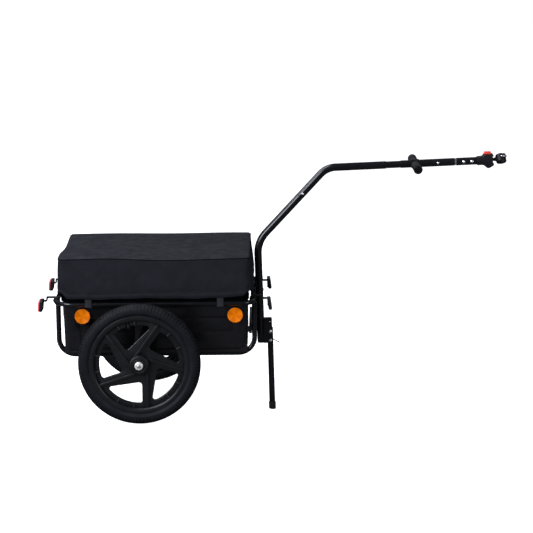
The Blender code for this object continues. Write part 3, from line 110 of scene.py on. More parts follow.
class Canvas:
    """A node tree that is being wired."""

    def __init__(self, tree: Tree) -> None:
        """Keep the tree."""
        self.tree = tree

    def feed(self, node: Node, feeds: dict) -> None:
        """Link a node's inputs, or set their own values.

        Args:
            node: the node.
            feeds: a plain value, a socket, or a node whose first output is meant, by the input's name or number.
        """
        for key, value in feeds.items():
            source = value.outputs[0] if isinstance(value, Node) else value
            if isinstance(source, Socket):
                self.tree.links.new(source, node.inputs[key])
            else:
                node.inputs[key].default_value = source

    def node(self, kind: str, feeds: dict | None = None, **settings: object) -> Node:
        """Add a node.

        Args:
            kind: Blender's name of the node type.
            feeds: what its inputs are fed with.
            settings: its properties, by name.

        Returns:
            The new node.
        """
        made = self.tree.nodes.new(kind)
        for name, value in settings.items():
            setattr(made, name, value)
        self.feed(made, feeds or {})
        return made

    def maths(self, operation: str, *values: object) -> Node:
        """One step of arithmetic on sockets or numbers."""
        return self.node("ShaderNodeMath", dict(enumerate(values)), operation=operation)

    def blend(self, share: object, first: object, second: object) -> Socket:
        """Mix two colours; share says how much of the second one shows."""
        return self.node("ShaderNodeMix", {0: share, 6: first, 7: second}, data_type="RGBA").outputs[2]

    def ramp(self, *values: object) -> Node:
        """Stretch a value from its low and high end to another low and high, or 0 and 1, and clamp it there."""
        return self.node("ShaderNodeMapRange", dict(enumerate(values)))

    def cloud(self, place: Socket, scale: object, detail: float = 2.0) -> Node:
        """Soft noise over a place."""
        return self.node("ShaderNodeTexNoise", {"Vector": place, "Scale": scale, "Detail": detail})

    def group(self, tree: Tree, feeds: dict) -> Sequence[Socket]:
        """Place a shader group and give its outputs."""
        return self.node("ShaderNodeGroup", feeds, node_tree=tree).outputs


class Group(Canvas):
    """A node group with named sockets."""

    def __init__(self, kind: str, name: str, inputs: dict[str, tuple[str, object]], *outputs: str) -> None:
        """Make the group with its input and output nodes.

        Args:
            kind: Shader or Geometry.
            name: the group's name.
            inputs: socket type and default value of each input, by name.
            outputs: the outputs' names; all are numbers in a shader group and geometry in the other.
        """
        super().__init__(bpy.data.node_groups.new(name, f"{kind}NodeTree"))
        sockets = self.tree.interface
        for label, (kept, default) in inputs.items():
            socket = sockets.new_socket(name=label, in_out="INPUT", socket_type=f"NodeSocket{kept}")
            if default is not None:
                socket.default_value = default
        for label in outputs:
            kept = "NodeSocketFloat" if kind == "Shader" else "NodeSocketGeometry"
            sockets.new_socket(name=label, in_out="OUTPUT", socket_type=kept)
        self.given, self.result = self.node("NodeGroupInput").outputs, self.node("NodeGroupOutput")

    def give(self, **results: object) -> Tree:
        """Feed the group's outputs and give its finished tree."""
        self.feed(self.result, results)
        return self.tree


class SurfaceEffects:
    """Shader groups that several materials share; each is built once."""

    @staticmethod
    @cache
    def grain() -> Tree:
        """Fine texture of a moulded or sprayed surface.

        Returns:
            A group with a Height for bumps and a slow Mottle for colour and gloss.
        """
        group = Group("Shader", "surface_grain", {"Vector": ("Vector", None), "Scale": ("Float", 900.0)},
                      "Height", "Mottle")
        fine, slow = (group.maths("MULTIPLY", group.given["Scale"], share) for share in (1.0, 0.02))
        place = group.given["Vector"]
        return group.give(Height=group.cloud(place, fine, 3.0), Mottle=group.cloud(place, slow, 4.0))

    @staticmethod
    @cache
    def dust() -> Tree:
        """Fine dust that settles on faces that look up.

        Returns:
            A group whose Mask says how much dust lies on the surface.
        """
        group = Group("Shader", "settled_dust", {"Vector": ("Vector", None), "Normal": ("Vector", None),
                                                 "Amount": ("Float", 0.2)}, "Mask")
        facing = group.node("ShaderNodeSeparateXYZ", {0: group.given["Normal"]}).outputs["Z"]
        patchy = group.ramp(group.cloud(group.given["Vector"], 35.0, 6.0), 0.35, 0.75)
        settled = group.maths("MULTIPLY", group.ramp(facing, -0.1, 1.0), patchy)
        return group.give(Mask=group.maths("MULTIPLY", settled, group.given["Amount"]))

    @staticmethod
    @cache
    def edge_wear() -> Tree:
        """Rubbed outer edges.

        Returns:
            A group whose Mask is strong on sharp outer edges, broken up by noise.
        """
        group = Group("Shader", "edge_wear", {"Vector": ("Vector", None), "Amount": ("Float", 0.3)}, "Mask")
        edge = group.ramp(group.node("ShaderNodeNewGeometry").outputs["Pointiness"], 0.52, 0.6)
        broken = group.maths("MULTIPLY", edge, group.ramp(group.cloud(group.given["Vector"], 260.0), 0.4, 0.62))
        return group.give(Mask=group.maths("MULTIPLY", broken, group.given["Amount"]))

    @staticmethod
    @cache
    def weave() -> Tree:
        """Plain weave: threads pass over and under each other on a square grid.

        Returns:
            A group with the threads' Height and a slow Tone between bundles.
        """
        group = Group("Shader", "plain_weave", {"Vector": ("Vector", None), "Threads": ("Float", 900.0)},
                      "Height", "Tone")
        place, maths = group.given["Vector"], group.maths
        scaled = group.node("ShaderNodeVectorMath", {0: place, "Scale": group.given["Threads"]}, operation="SCALE")
        checks = group.node("ShaderNodeTexChecker", {"Vector": scaled, "Scale": 1.0}).outputs["Fac"]
        parts = group.node("ShaderNodeSeparateXYZ", {0: scaled}).outputs
        over, under = (maths("ABSOLUTE", maths("SINE", maths("MULTIPLY", parts[axis], pi))) for axis in "XY")
        warp, weft = maths("MULTIPLY", over, checks), maths("MULTIPLY", under, maths("SUBTRACT", 1.0, checks))
        return group.give(Height=maths("ADD", warp, weft), Tone=group.cloud(place, 22.0, 5.0))


def rgba(colour: Point, gain: float = 1.0) -> tuple[float, float, float, float]:
    """A colour with full alpha, made lighter or darker by the gain."""
    return tuple(min(1.0, part * gain) for part in colour) + (1.0,)


# Finishes

@dataclass(frozen=True)
class Finish:
    """A surface: its colour, its gloss, its fine texture, and the dust and wear on it."""

    slot: str
    colour: Point
    roughness: float
    metallic: float = 0.0
    specular: float = 0.5
    coat: float = 0.0
    grain: float = 1600.0
    relief: float = 0.00003
    mottle: float = 0.2
    dust: float = 0.03
    wear: float = 0.0
    dusty: Point = (0.3, 0.29, 0.27)
    worn: Point = (0.1, 0.1, 0.1)

    @cache
    def material(self) -> bpy.types.Material:
        """Build the material once.

        Returns:
            The material with its nodes wired.
        """
        made = bpy.data.materials.new(self.slot)
        made.use_nodes = True
        canvas = Canvas(made.node_tree)
        place = canvas.node("ShaderNodeTexCoord").outputs
        colour, roughness, height = self.texture(canvas, place)
        settled = canvas.group(SurfaceEffects.dust(), {"Vector": place["Object"], "Normal": place["Normal"],
                                                       "Amount": self.dust})
        colour = canvas.blend(settled["Mask"], colour, rgba(self.dusty))
        if self.wear:
            rubbed = canvas.group(SurfaceEffects.edge_wear(), {"Vector": place["Object"], "Amount": self.wear})
            colour = canvas.blend(rubbed["Mask"], colour, rgba(self.worn))
        bump = canvas.node("ShaderNodeBump", {"Strength": 1.0, "Distance": self.relief, "Height": height})
        canvas.feed(made.node_tree.nodes["Principled BSDF"], {
            "Base Color": colour, "Roughness": roughness, "Normal": bump, "Metallic": self.metallic,
            "Specular IOR Level": self.specular, "Coat Weight": self.coat, "Coat Roughness": 0.1})
        return made

    def shade(self, canvas: Canvas, share: object, dark: float, light: float) -> Socket:
        """Mix a darker and a lighter shade of the finish's colour."""
        return canvas.blend(share, rgba(self.colour, dark), rgba(self.colour, light))

    def texture(self, canvas: Canvas, place: Sequence[Socket]) -> tuple:
        """Wire the finish's own colour, gloss and relief.

        Args:
            canvas: the material's tree.
            place: its texture coordinates.

        Returns:
            Its colour, roughness and height.
        """
        texture = canvas.group(SurfaceEffects.grain(), {"Vector": place["Object"], "Scale": self.grain})
        slow, spread = texture["Mottle"], 0.12 * self.roughness
        colour = self.shade(canvas, canvas.ramp(slow, 0.3, 0.7), 1 - self.mottle, 1 + self.mottle)
        roughness = canvas.ramp(slow, 0.3, 0.7, self.roughness - spread, self.roughness + spread)
        return colour, roughness, texture["Height"]


@dataclass(frozen=True)
class ClothFinish(Finish):
    """Woven cloth, which reads the piece's UV map in metres."""

    threads: float = 1100.0

    def texture(self, canvas: Canvas, place: Sequence[Socket]) -> tuple:
        """Wire the weave.

        Args:
            canvas: the material's tree.
            place: its texture coordinates.

        Returns:
            Its colour, roughness and height.
        """
        woven = canvas.group(SurfaceEffects.weave(), {"Vector": place["UV"], "Threads": self.threads})
        height, slow = woven["Height"], woven["Tone"]
        colour = self.shade(canvas, canvas.ramp(slow, 0.3, 0.7), 1 - self.mottle, 1 + self.mottle)
        # painted shade: the colour darkens with the weave's height, down to 0.55 between the threads
        thread = canvas.ramp(height, 0.0, 1.0, 0.55, 1.0)
        shaded = canvas.node("ShaderNodeVectorMath", {0: colour, "Scale": thread}, operation="SCALE")
        roughness = canvas.ramp(slow, 0.3, 0.7, self.roughness - 0.06, self.roughness + 0.06)
        return shaded, roughness, height


@dataclass(frozen=True)
class LensFinish(Finish):
    """Reflector lens: cells in sectors, from the piece's UV map, with painted light: sectors lighter or darker and
    cells darker at their edges.
    """

    sectors: int = 8
    cells: float = 420.0

    def texture(self, canvas: Canvas, place: Sequence[Socket]) -> tuple:
        """Wire the sectors and the small prisms, with their painted light and shade.

        Args:
            canvas: the material's tree.
            place: its texture coordinates.

        Returns:
            Its colour, roughness and height.
        """
        parts = canvas.node("ShaderNodeSeparateXYZ", {0: place["UV"]}).outputs
        turn = canvas.maths("ARCTAN2", parts["Y"], parts["X"])
        # painted light: each sector is made lighter or darker, and each prism cell darker towards its edge, as the
        # prisms catch the light
        sector_light = canvas.ramp(canvas.maths("SINE", canvas.maths("MULTIPLY", turn, self.sectors / 2)), -0.25, 0.25)
        height = canvas.node("ShaderNodeTexVoronoi", {"Vector": place["UV"], "Scale": self.cells, "Randomness": 0.0},
                             feature="F1").outputs["Distance"]
        edge = canvas.maths("MULTIPLY", canvas.ramp(height, 0.25, 0.62), 0.28)
        colour = canvas.blend(edge, self.shade(canvas, sector_light, 0.84, 1.06), rgba(self.colour, 0.45))
        roughness = canvas.ramp(sector_light, 0.0, 1.0, self.roughness, self.roughness + 0.1)
        return colour, roughness, height


class Finishes:
    """Every finish on the trailer, named for what it is."""

    PAINT = Finish("frame_paint", (0.0036, 0.0036, 0.0046), 0.22, specular=0.32, coat=0.1, grain=1400,
                   relief=0.000015, wear=0.06, dust=0.01)
    TUB = Finish("tub_plastic", (0.0066, 0.0064, 0.008), 0.3, specular=0.36, grain=2200)
    WHEEL = Finish("wheel_plastic", (0.0058, 0.006, 0.007), 0.3, specular=0.42, grain=1700, dust=0.02)
    HUB = replace(WHEEL, colour=(0.004, 0.0042, 0.005), roughness=0.46, specular=0.24)
    # painted highlight: the gussets are several times lighter than the rest of the same moulding, standing in for light
    # catching them
    GUSSET_HIGHLIGHT = replace(WHEEL, colour=(0.03, 0.03, 0.032), roughness=0.34, specular=0.5, dust=0.03)
    HITCH = Finish("hitch_plastic", (0.007, 0.0066, 0.008), 0.4, specular=0.25, relief=0.00004)
    HOUSING = Finish("reflector_housing", (0.006, 0.006, 0.007), 0.42, specular=0.22)
    TYRE = Finish("tyre_rubber", (0.0062, 0.007, 0.0092), 0.6, specular=0.12, grain=1300, relief=0.00006,
                  mottle=0.25, dust=0.04)
    TREAD = replace(TYRE, colour=(0.0084, 0.0088, 0.0108), roughness=0.62)
    FOOT = Finish("foot_rubber", (0.007, 0.007, 0.0075), 0.7, specular=0.15, grain=900, relief=0.00005, dust=0.1)
    FOAM = Finish("grip_foam", (0.01, 0.01, 0.0112), 0.82, specular=0.12, grain=700, relief=0.00018, mottle=0.25,
                  dust=0.1)
    # painted shade: near-black matt cloth for the band under the hem, standing in for the shadow there
    LINING = Finish("cover_fabric", (0.0012, 0.0012, 0.0016), 0.9, specular=0.0, grain=2600, relief=0.00005, dust=0.0)
    # painted shadow: the piping cord is darker than the cloth, standing in for the shadow line under the seam
    PIPING_SHADOW = replace(LINING, colour=(0.0035, 0.0035, 0.0055), roughness=0.8, specular=0.04)
    CLOTH = ClothFinish("cover_fabric", (0.015, 0.0158, 0.02), 0.66, specular=0.07, relief=0.0001, mottle=0.14,
                        dust=0.04)
    WEBBING = ClothFinish("cover_fabric", (0.03, 0.03, 0.034), 0.72, specular=0.1, relief=0.00016, threads=620.0)
    THREAD = Finish("cover_fabric", (0.02, 0.02, 0.023), 0.65, specular=0.15, grain=3000, relief=0.00002, dust=0.0)
    CHROME = Finish("chrome", (0.86, 0.86, 0.87), 0.22, metallic=1.0, grain=1800, relief=0.000004, mottle=0.05,
                    dust=0.02)
    DOME = replace(CHROME, colour=(0.88, 0.86, 0.8), roughness=0.36, metallic=0.55)
    ZINC = Finish("hitch_zinc", (0.72, 0.73, 0.75), 0.24, metallic=1.0, grain=1500, relief=0.00001, mottle=0.1)
    STEEL = Finish("bearing_steel", (0.56, 0.57, 0.58), 0.28, metallic=1.0, grain=1500, relief=0.00001, dust=0.05)
    SEAL = Finish("bearing_steel", (0.008, 0.008, 0.009), 0.55, specular=0.2, grain=1500)
    WIRE = replace(STEEL, colour=(0.07, 0.07, 0.08), roughness=0.4)
    AMBER = LensFinish("amber_lens", (0.88, 0.198, 0.0004), 0.36, specular=0.1, relief=0.00006, dust=0.0, coat=0.03)
    RED = LensFinish("red_lens", (0.92, 0.13, 0.15), 0.24, relief=0.00008, dust=0.0, coat=0.5)
    CLEAR = replace(RED, slot="clear_lens", colour=(0.74, 0.75, 0.78), roughness=0.16)
    BUTTON = Finish("red_button", (0.8, 0.06, 0.035), 0.34, relief=0.00002, mottle=0.08, dust=0.02)


# Mesh shapes

def tangents(line: Ring, closed: bool = False) -> list[Vector]:
    """The direction of a line at each of its points.

    Args:
        line: the points.
        closed: whether they are a loop.

    Returns:
        Unit vectors.
    """
    before = [line[-1] if closed else line[0], *line[:-1]]
    after = [*line[1:], line[0] if closed else line[-1]]
    return [(ahead - back).normalized() for back, ahead in zip(before, after)]


def round_ring(centre: Vector, side: Vector, up: Vector, radius: float, steps: int) -> list[Vector]:
    """Points of a circle in the plane of two directions."""
    return [centre + (side * cos(tau * k / steps) + up * sin(tau * k / steps)) * radius for k in range(steps)]


def circle(radius: float, steps: int, lift: float = 0.0) -> list[Vector]:
    """Points of a flat circle, lifted along its second coordinate."""
    return [Vector((radius * cos(tau * k / steps), lift + radius * sin(tau * k / steps))) for k in range(steps)]


def loft(rings: Sequence[Sequence], caps: bool = True, closed: bool = False) -> Shape:
    """Join rings of equally many points into a surface.

    Args:
        rings: the rings.
        caps: whether the first and last rings are filled.
        closed: whether the last ring joins the first.

    Returns:
        The surface.
    """
    shape = bmesh.new()
    drawn = [[shape.verts.new(point) for point in ring] for ring in rings]
    for ring, other in zip(drawn, [*drawn[1:], drawn[0]] if closed else drawn[1:]):
        for i, vert in enumerate(ring):
            j = (i + 1) % len(ring)
            shape.faces.new((vert, ring[j], other[j], other[i]))
    if caps:
        shape.faces.new(drawn[0])
        shape.faces.new(drawn[-1])
    return shape


def lathe(profile: Profile, axis: Vector = Y, steps: int = 64, start: float = 0.0, sweep: float = tau,
          closed: bool = False, hand: int = 1) -> Shape:
    """Spin a profile about an axis through the origin.

    Args:
        profile: radius and place along the axis of each point.
        axis: X, Y or Z.
        steps: steps of the turn.
        start: the first angle.
        sweep: the angle turned through.
        closed: whether the profile itself is a loop, as on a ring.
        hand: -1 flips it along the axis.

    Returns:
        The closed surface.
    """
    across = Vector((axis.z, axis.x, axis.y))
    third = axis.cross(across)
    full = abs(sweep - tau) < 1e-6
    shape = bmesh.new()
    columns = []
    for i in range(steps if full else steps + 1):
        angle = start + sweep * i / steps
        out = across * cos(angle) + third * sin(angle)
        columns.append([shape.verts.new(out * radius + axis * (hand * height)) for radius, height in profile])
    count = len(profile)
    for column, following in zip(columns, columns[1:] + columns[:1] if full else columns[1:]):
        for i in range(count if closed else count - 1):
            j = (i + 1) % count
            shape.faces.new((column[i], following[i], following[j], column[j]))
    if closed and not full:
        shape.faces.new(columns[0])
        shape.faces.new(columns[-1])
    bmesh.ops.remove_doubles(shape, verts=shape.verts, dist=1e-6)
    return shape


def sweep_tube(path: Ring, radius: float, normal: Vector, closed: bool = False, sides: int = 28,
               round_ends: float = 0.0008) -> Shape:
    """Run a round bar along a flat path.

    Args:
        path: its centre line.
        radius: its radius.
        normal: the normal of the path's plane.
        closed: whether the path is a loop.
        sides: points round the bar.
        round_ends: how far its end edges are broken.

    Returns:
        The closed surface.
    """
    points, radii = list(path), [radius] * len(path)
    if not closed:
        first = (points[1] - points[0]).normalized() * round_ends
        last = (points[-1] - points[-2]).normalized() * round_ends
        points = [points[0], points[0] + first, *points[1:-1], points[-1] - last, points[-1]]
        radii = [radius - round_ends, *radii, radius - round_ends]
    rings = []
    for point, tangent, own in zip(points, tangents(points, closed), radii):
        rings.append(round_ring(point, normal, normal.cross(tangent).normalized(), own, sides))
    return loft(rings, not closed, closed)


def sweep_loose(line: Ring, radius: float, closed: bool = False) -> Shape:
    """Run a thin cord along any line in space.

    Args:
        line: the points that it follows.
        radius: the cord's radius.
        closed: whether the line is a loop.

    Returns:
        The closed surface, with its UV map.
    """
    rings = []
    for point, tangent in zip(line, tangents(line, closed)):
        side = tangent.cross(Z if abs(tangent.z) < 0.9 else X).normalized()
        rings.append(round_ring(point, side, side.cross(tangent), radius, 8))
    return flat_uv(loft(rings, not closed, closed), X + Y)


def flat_uv(shape: Shape, across: Vector) -> Shape:
    """Give a shape a UV map in metres straight from its coordinates, with V along Z.

    Args:
        shape: the mesh, which is changed.
        across: the direction read as U.

    Returns:
        The same mesh.
    """
    layer = shape.loops.layers.uv.verify()
    for face in shape.faces:
        for loop in face.loops:
            loop[layer].uv = (loop.vert.co.dot(across), loop.vert.co.z)
    return shape


def fillet(corners: Sequence[Sequence[float]], radius: float, steps: int = 12) -> list[Vector]:
    """An open path with each inner corner rounded.

    Args:
        corners: the path's corners.
        radius: the bend's radius.
        steps: steps in each bend.

    Returns:
        The path's points.
    """
    points = [Vector(corner) for corner in corners]
    path = [points[0]]
    for before, corner, after in zip(points, points[1:], points[2:]):
        back, ahead = (before - corner).normalized(), (after - corner).normalized()
        half = back.angle(ahead) / 2
        centre = corner + (back + ahead).normalized() * (radius / sin(half))
        first = corner + back * (radius / tan(half)) - centre
        last = corner + ahead * (radius / tan(half)) - centre
        pivot, turn = first.cross(last).normalized(), first.angle(last)
        path.extend(centre + Matrix.Rotation(turn * k / steps, 3, pivot) @ first for k in range(steps + 1))
    return [*path, points[-1]]


def rounded(corners: Sequence[tuple[Sequence[float], float]], steps: int = 8) -> list[Vector]:
    """A closed flat outline whose corners each have their own radius.

    Args:
        corners: each corner's two coordinates and its radius; 0 leaves it as it is.
        steps: steps in each rounded corner.

    Returns:
        The outline's points.
    """
    outline = []
    for i, (corner, radius) in enumerate(corners):
        if radius:
            bend = [Vector((*corners[j % len(corners)][0], 0.0)) for j in (i - 1, i, i + 1)]
            outline.extend(turned.xy for turned in fillet(bend, radius, steps)[1:-1])
        else:
            outline.append(Vector(corner))
    return outline


def drawn_in(corners: Sequence[tuple[Sequence[float], float]], inset: float) -> list[tuple]:
    """Draw an anticlockwise outline in by the same distance all along, apart from its closing edge.

    Args:
        corners: the corners with their radii.
        inset: the distance.

    Returns:
        The new corners with their radii.
    """
    spots = [Vector(spot) for spot, _ in corners]
    drawn = []
    for i, (spot, (_, radius)) in enumerate(zip(spots, corners)):
        before, after = (spot - spots[i - 1]).normalized(), (spots[(i + 1) % len(spots)] - spot).normalized()
        turn = before.x * after.y - before.y * after.x
        back, ahead = (0.0 if i == 0 else inset), (0.0 if i == len(spots) - 1 else inset)
        shift = (before * ahead - after * back) / turn if abs(turn) > 1e-6 else Vector((-before.y, before.x)) * inset
        grown = radius - inset if turn > 0 else radius + inset
        drawn.append(((spot.x - shift.x, spot.y - shift.y), max(0.0006, grown) if radius else 0.0))
    return drawn


def plate(outline: Ring, thickness: float, holes: Iterable[Ring] = ()) -> Shape:
    """A flat plate in the XZ plane, centred on Y = 0, with holes of any outline.

    Args:
        outline: X and Z of its edge.
        thickness: along Y.
        holes: outlines of the holes.

    Returns:
        The closed surface.
    """
    shape = bmesh.new()
    edges = []
    for boundary in (outline, *holes):
        verts = [shape.verts.new((point[0], -thickness / 2, point[1])) for point in boundary]
        edges.extend(shape.edges.new((vert, verts[(i + 1) % len(verts)])) for i, vert in enumerate(verts))
    bmesh.ops.triangle_fill(shape, use_beauty=True, edges=edges)
    raised = bmesh.ops.extrude_face_region(shape, geom=list(shape.faces))
    verts = [item for item in raised["geom"] if isinstance(item, bmesh.types.BMVert)]
    bmesh.ops.translate(shape, verts=verts, vec=(0, thickness, 0))
    return shape


def block(low: Point, high: Point, soft: float = 0.0008, segments: int = 2) -> Shape:
    """A box between two corners with rounded edges.

    Args:
        low: the lowest corner.
        high: the highest corner.
        soft: the edges' radius.
        segments: steps of the rounding.

    Returns:
        The closed surface.
    """
    shape = bmesh.new()
    bmesh.ops.create_cube(shape, size=1.0)
    start, end = Vector(low), Vector(high)
    bmesh.ops.scale(shape, vec=end - start, verts=shape.verts)
    bmesh.ops.translate(shape, vec=(start + end) / 2, verts=shape.verts)
    bmesh.ops.bevel(shape, geom=list(shape.edges), offset=soft, segments=segments, affect="EDGES", profile=0.5)
    return shape


def hexagon(across: float, height: float, soft: float = 0.0006) -> Shape:
    """A hexagon head or nut that stands on Z = 0, with its top corners turned down.

    Args:
        across: the width across its flats.
        height: its height.
        soft: how far the top edge is turned down.

    Returns:
        The closed surface.
    """
    corner = across / sqrt(3)
    levels = ((corner, 0.0), (corner, height - soft), (corner - 1.2 * soft, height))
    return loft([[(*spot, z) for spot in circle(radius, 6)] for radius, z in levels])


def rotation(degrees: float, axis: str) -> Matrix:
    """A turn about an axis."""
    return Matrix.Rotation(radians(degrees), 4, axis)


def placed(shape: Shape, offset: Sequence[float] = (0, 0, 0), turn: Matrix = ORIGIN) -> Shape:
    """Turn a shape, then shift it.

    Args:
        shape: the mesh, which is changed.
        offset: the shift.
        turn: the rotation.

    Returns:
        The same mesh.
    """
    bmesh.ops.transform(shape, matrix=turn, verts=shape.verts)
    bmesh.ops.translate(shape, verts=shape.verts, vec=Vector(offset))
    return shape


def meshed(shape: Shape, name: str) -> bpy.types.Mesh:
    """Turn a shape into mesh data.

    Args:
        shape: the shape, which is used up.
        name: the data's name.

    Returns:
        The data.
    """
    mesh = bpy.data.meshes.new(name)
    shape.to_mesh(mesh)
    shape.free()
    return mesh


def linked(name: str, data: bpy.types.ID) -> Thing:
    """Make an object of some data and link it into the scene.

    Args:
        name: the object's name.
        data: its data.

    Returns:
        The object.
    """
    thing = bpy.data.objects.new(name, data)
    bpy.context.scene.collection.objects.link(thing)
    return thing


def joined(*shapes: Shape) -> Shape:
    """Put several closed shapes in one mesh.

    Args:
        shapes: the meshes, which are used up.

    Returns:
        One mesh that holds them all.
    """
    whole = bmesh.new()
    for shape in shapes:
        mesh = meshed(shape, "part")
        whole.from_mesh(mesh)
        bpy.data.meshes.remove(mesh)
    return whole


def settle(thing: Thing) -> None:
    """Turn an object's modifiers into plain mesh and remove them.

    Args:
        thing: the object, which gets the evaluated mesh.
    """
    bpy.context.view_layer.update()
    graph = bpy.context.evaluated_depsgraph_get()
    mesh = bpy.data.meshes.new_from_object(thing.evaluated_get(graph))
    thing.modifiers.clear()
    thing.data = mesh


def carved(shape: Shape, *cutters: Shape) -> Shape:
    """Cut shapes out of another.

    Args:
        shape: the solid, which is used up.
        cutters: the closed shapes taken away, which are used up.

    Returns:
        What is left.
    """
    things = []
    for part in (shape, *cutters):
        bmesh.ops.recalc_face_normals(part, faces=part.faces)
        things.append(linked("blank", meshed(part, "blank")))
    for tool in things[1:]:
        cut = things[0].modifiers.new("cut", "BOOLEAN")
        cut.operation, cut.solver, cut.object = "DIFFERENCE", "EXACT", tool
    settle(things[0])
    left = bmesh.new()
    left.from_mesh(things[0].data)
    for thing in things:
        bpy.data.objects.remove(thing, do_unlink=True)
    return left


# Pieces

def finished(thing: Thing, finish: Finish, body: str, place: Matrix = ORIGIN, sharp: float = 38.0,
             cad: str = "") -> Thing:
    """Place and dress an object whose mesh is final, attach it to its body and hide the frame's node that it replaces.

    Args:
        thing: the object, at the origin.
        finish: its surface.
        body: the body that it rides on.
        place: its own frame in the trailer's level frame.
        sharp: the angle in degrees above which an edge stays sharp.
        cad: the frame's node that it replaces.

    Returns:
        The same object.
    """
    thing.data.transform(LEVEL @ place)
    thing.data.shade_smooth()
    thing.data.set_sharp_from_angle(angle=radians(sharp))
    thing.data.materials.clear()
    thing.data.materials.append(finish.material())
    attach(thing, body)
    if cad:
        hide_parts(cad)
    LOG.info("%s: %d faces on %s", thing.name, len(thing.data.polygons), body)
    return thing


def show(name: str, shape: Shape, finish: Finish = Finishes.PAINT, body: str = "frame", place: Matrix = ORIGIN,
         soft: float = 0.0, sharp: float = 38.0, cad: str = "") -> Thing:
    """Turn a shape into a finished piece of the trailer.

    Args:
        name: the piece's name.
        shape: its mesh in its own frame, which is used up.
        finish: its surface.
        body: the body that it rides on.
        place: its own frame in the trailer's level frame.
        soft: radius of a bevel on its sharp edges.
        sharp: the angle in degrees above which an edge stays sharp.
        cad: the frame's node that it replaces.

    Returns:
        The piece, riding on its body.
    """
    bmesh.ops.remove_doubles(shape, verts=shape.verts, dist=1e-6)
    bmesh.ops.recalc_face_normals(shape, faces=shape.faces)
    thing = linked(name, meshed(shape, name))
    if soft:
        bevel = thing.modifiers.new("soft_edges", "BEVEL")
        bevel.width, bevel.segments = soft, 2
        bevel.limit_method, bevel.angle_limit = "ANGLE", radians(sharp)
        settle(thing)
    return finished(thing, finish, body, place, sharp, cad)


# Repeats, grown by Geometry Nodes

class Growth:
    """Geometry Nodes trees for what repeats; each is built once."""

    @staticmethod
    def tree(name: str, inputs: dict[str, tuple[str, object]]) -> Group:
        """Begin a tree that also takes its Material and gives Geometry."""
        return Group("Geometry", name, {**inputs, "Material": ("Material", None)}, "Geometry")

    @staticmethod
    def finish(group: Group, instances: Node) -> Tree:
        """Turn the instances into mesh with the tree's material.

        Args:
            group: the tree that is being wired.
            instances: the node that gives the instances.

        Returns:
            The finished tree.
        """
        real = group.node("GeometryNodeRealizeInstances", {0: instances})
        return group.give(Geometry=group.node("GeometryNodeSetMaterial", {
            "Geometry": real, "Material": group.given["Material"]}))

    @staticmethod
    @cache
    def ring_of_blocks() -> Tree:
        """Blocks in a ring about the Y axis.

        Returns:
            A tree with the count, radius, place along the axis, first angle, skew, lean and size of the blocks.
        """
        group = Growth.tree("ring_of_blocks", {
            "Count": ("Int", 12), "Radius": ("Float", 0.1), "Along": ("Float", 0.0), "Phase": ("Float", 0.0),
            "Skew": ("Float", 0.0), "Lean": ("Float", 0.0), "Size": ("Vector", (0.01, 0.01, 0.01))})
        given, node, maths = group.given, group.node, group.maths
        turn = maths("MULTIPLY", node("GeometryNodeInputIndex"), maths("DIVIDE", tau, given["Count"]))
        angle = maths("ADD", turn, given["Phase"])
        along, up = (maths("MULTIPLY", maths(part, angle), given["Radius"]) for part in ("COSINE", "SINE"))
        spread = node("GeometryNodeSetPosition", {
            "Geometry": node("GeometryNodeMeshLine", {"Count": given["Count"]}),
            "Position": node("ShaderNodeCombineXYZ", {0: along, 1: given["Along"], 2: up})})
        copies = node("GeometryNodeInstanceOnPoints", {
            "Points": spread, "Instance": node("GeometryNodeMeshCube", {"Size": given["Size"]}),
            "Rotation": node("ShaderNodeCombineXYZ", {1: maths("MULTIPLY", angle, -1.0)})})
        own = node("ShaderNodeCombineXYZ", {0: given["Skew"], 2: given["Lean"]})
        return Growth.finish(group, node("GeometryNodeRotateInstances", {
            "Instances": copies, "Rotation": own, "Local Space": True}))

    @staticmethod
    @cache
    def row_of_blocks() -> Tree:
        """Blocks in a straight row.

        Returns:
            A tree with the count, first place, step and size of the blocks.
        """
        group = Growth.tree("row_of_blocks", {
            "Count": ("Int", 5), "Start": ("Vector", (0, 0, 0)), "Step": ("Vector", (0.01, 0, 0)),
            "Size": ("Vector", (0.01, 0.01, 0.01))})
        given = group.given
        row = group.node("GeometryNodeMeshLine", {
            "Count": given["Count"], "Start Location": given["Start"], "Offset": given["Step"]})
        cube = group.node("GeometryNodeMeshCube", {"Size": given["Size"]})
        return Growth.finish(group, group.node("GeometryNodeInstanceOnPoints", {"Points": row, "Instance": cube}))

    @staticmethod
    @cache
    def stitches() -> Tree:
        """Stitches along edges.

        Returns:
            A tree that takes lines of edges and puts a small thread hump at each stitch.
        """
        group = Growth.tree("stitches", {
            "Geometry": ("Geometry", None), "Spacing": ("Float", 0.004), "Length": ("Float", 2.6),
            "Thickness": ("Float", 0.0004)})
        given, node = group.given, group.node
        curve = node("GeometryNodeMeshToCurve", {0: given["Geometry"]})
        hump = node("GeometryNodeMeshIcoSphere", {"Radius": given["Thickness"], "Subdivisions": 1})
        return Growth.finish(group, node("GeometryNodeInstanceOnPoints", {
            "Points": node("GeometryNodeResampleCurve", {"Curve": curve, "Length": given["Spacing"]}, mode="LENGTH"),
            "Rotation": node("FunctionNodeAlignRotationToVector", {"Vector": node("GeometryNodeInputTangent")},
                             axis="X"),
            "Scale": node("ShaderNodeCombineXYZ", {0: given["Length"], 1: 1.0, 2: 1.0}), "Instance": hump}))


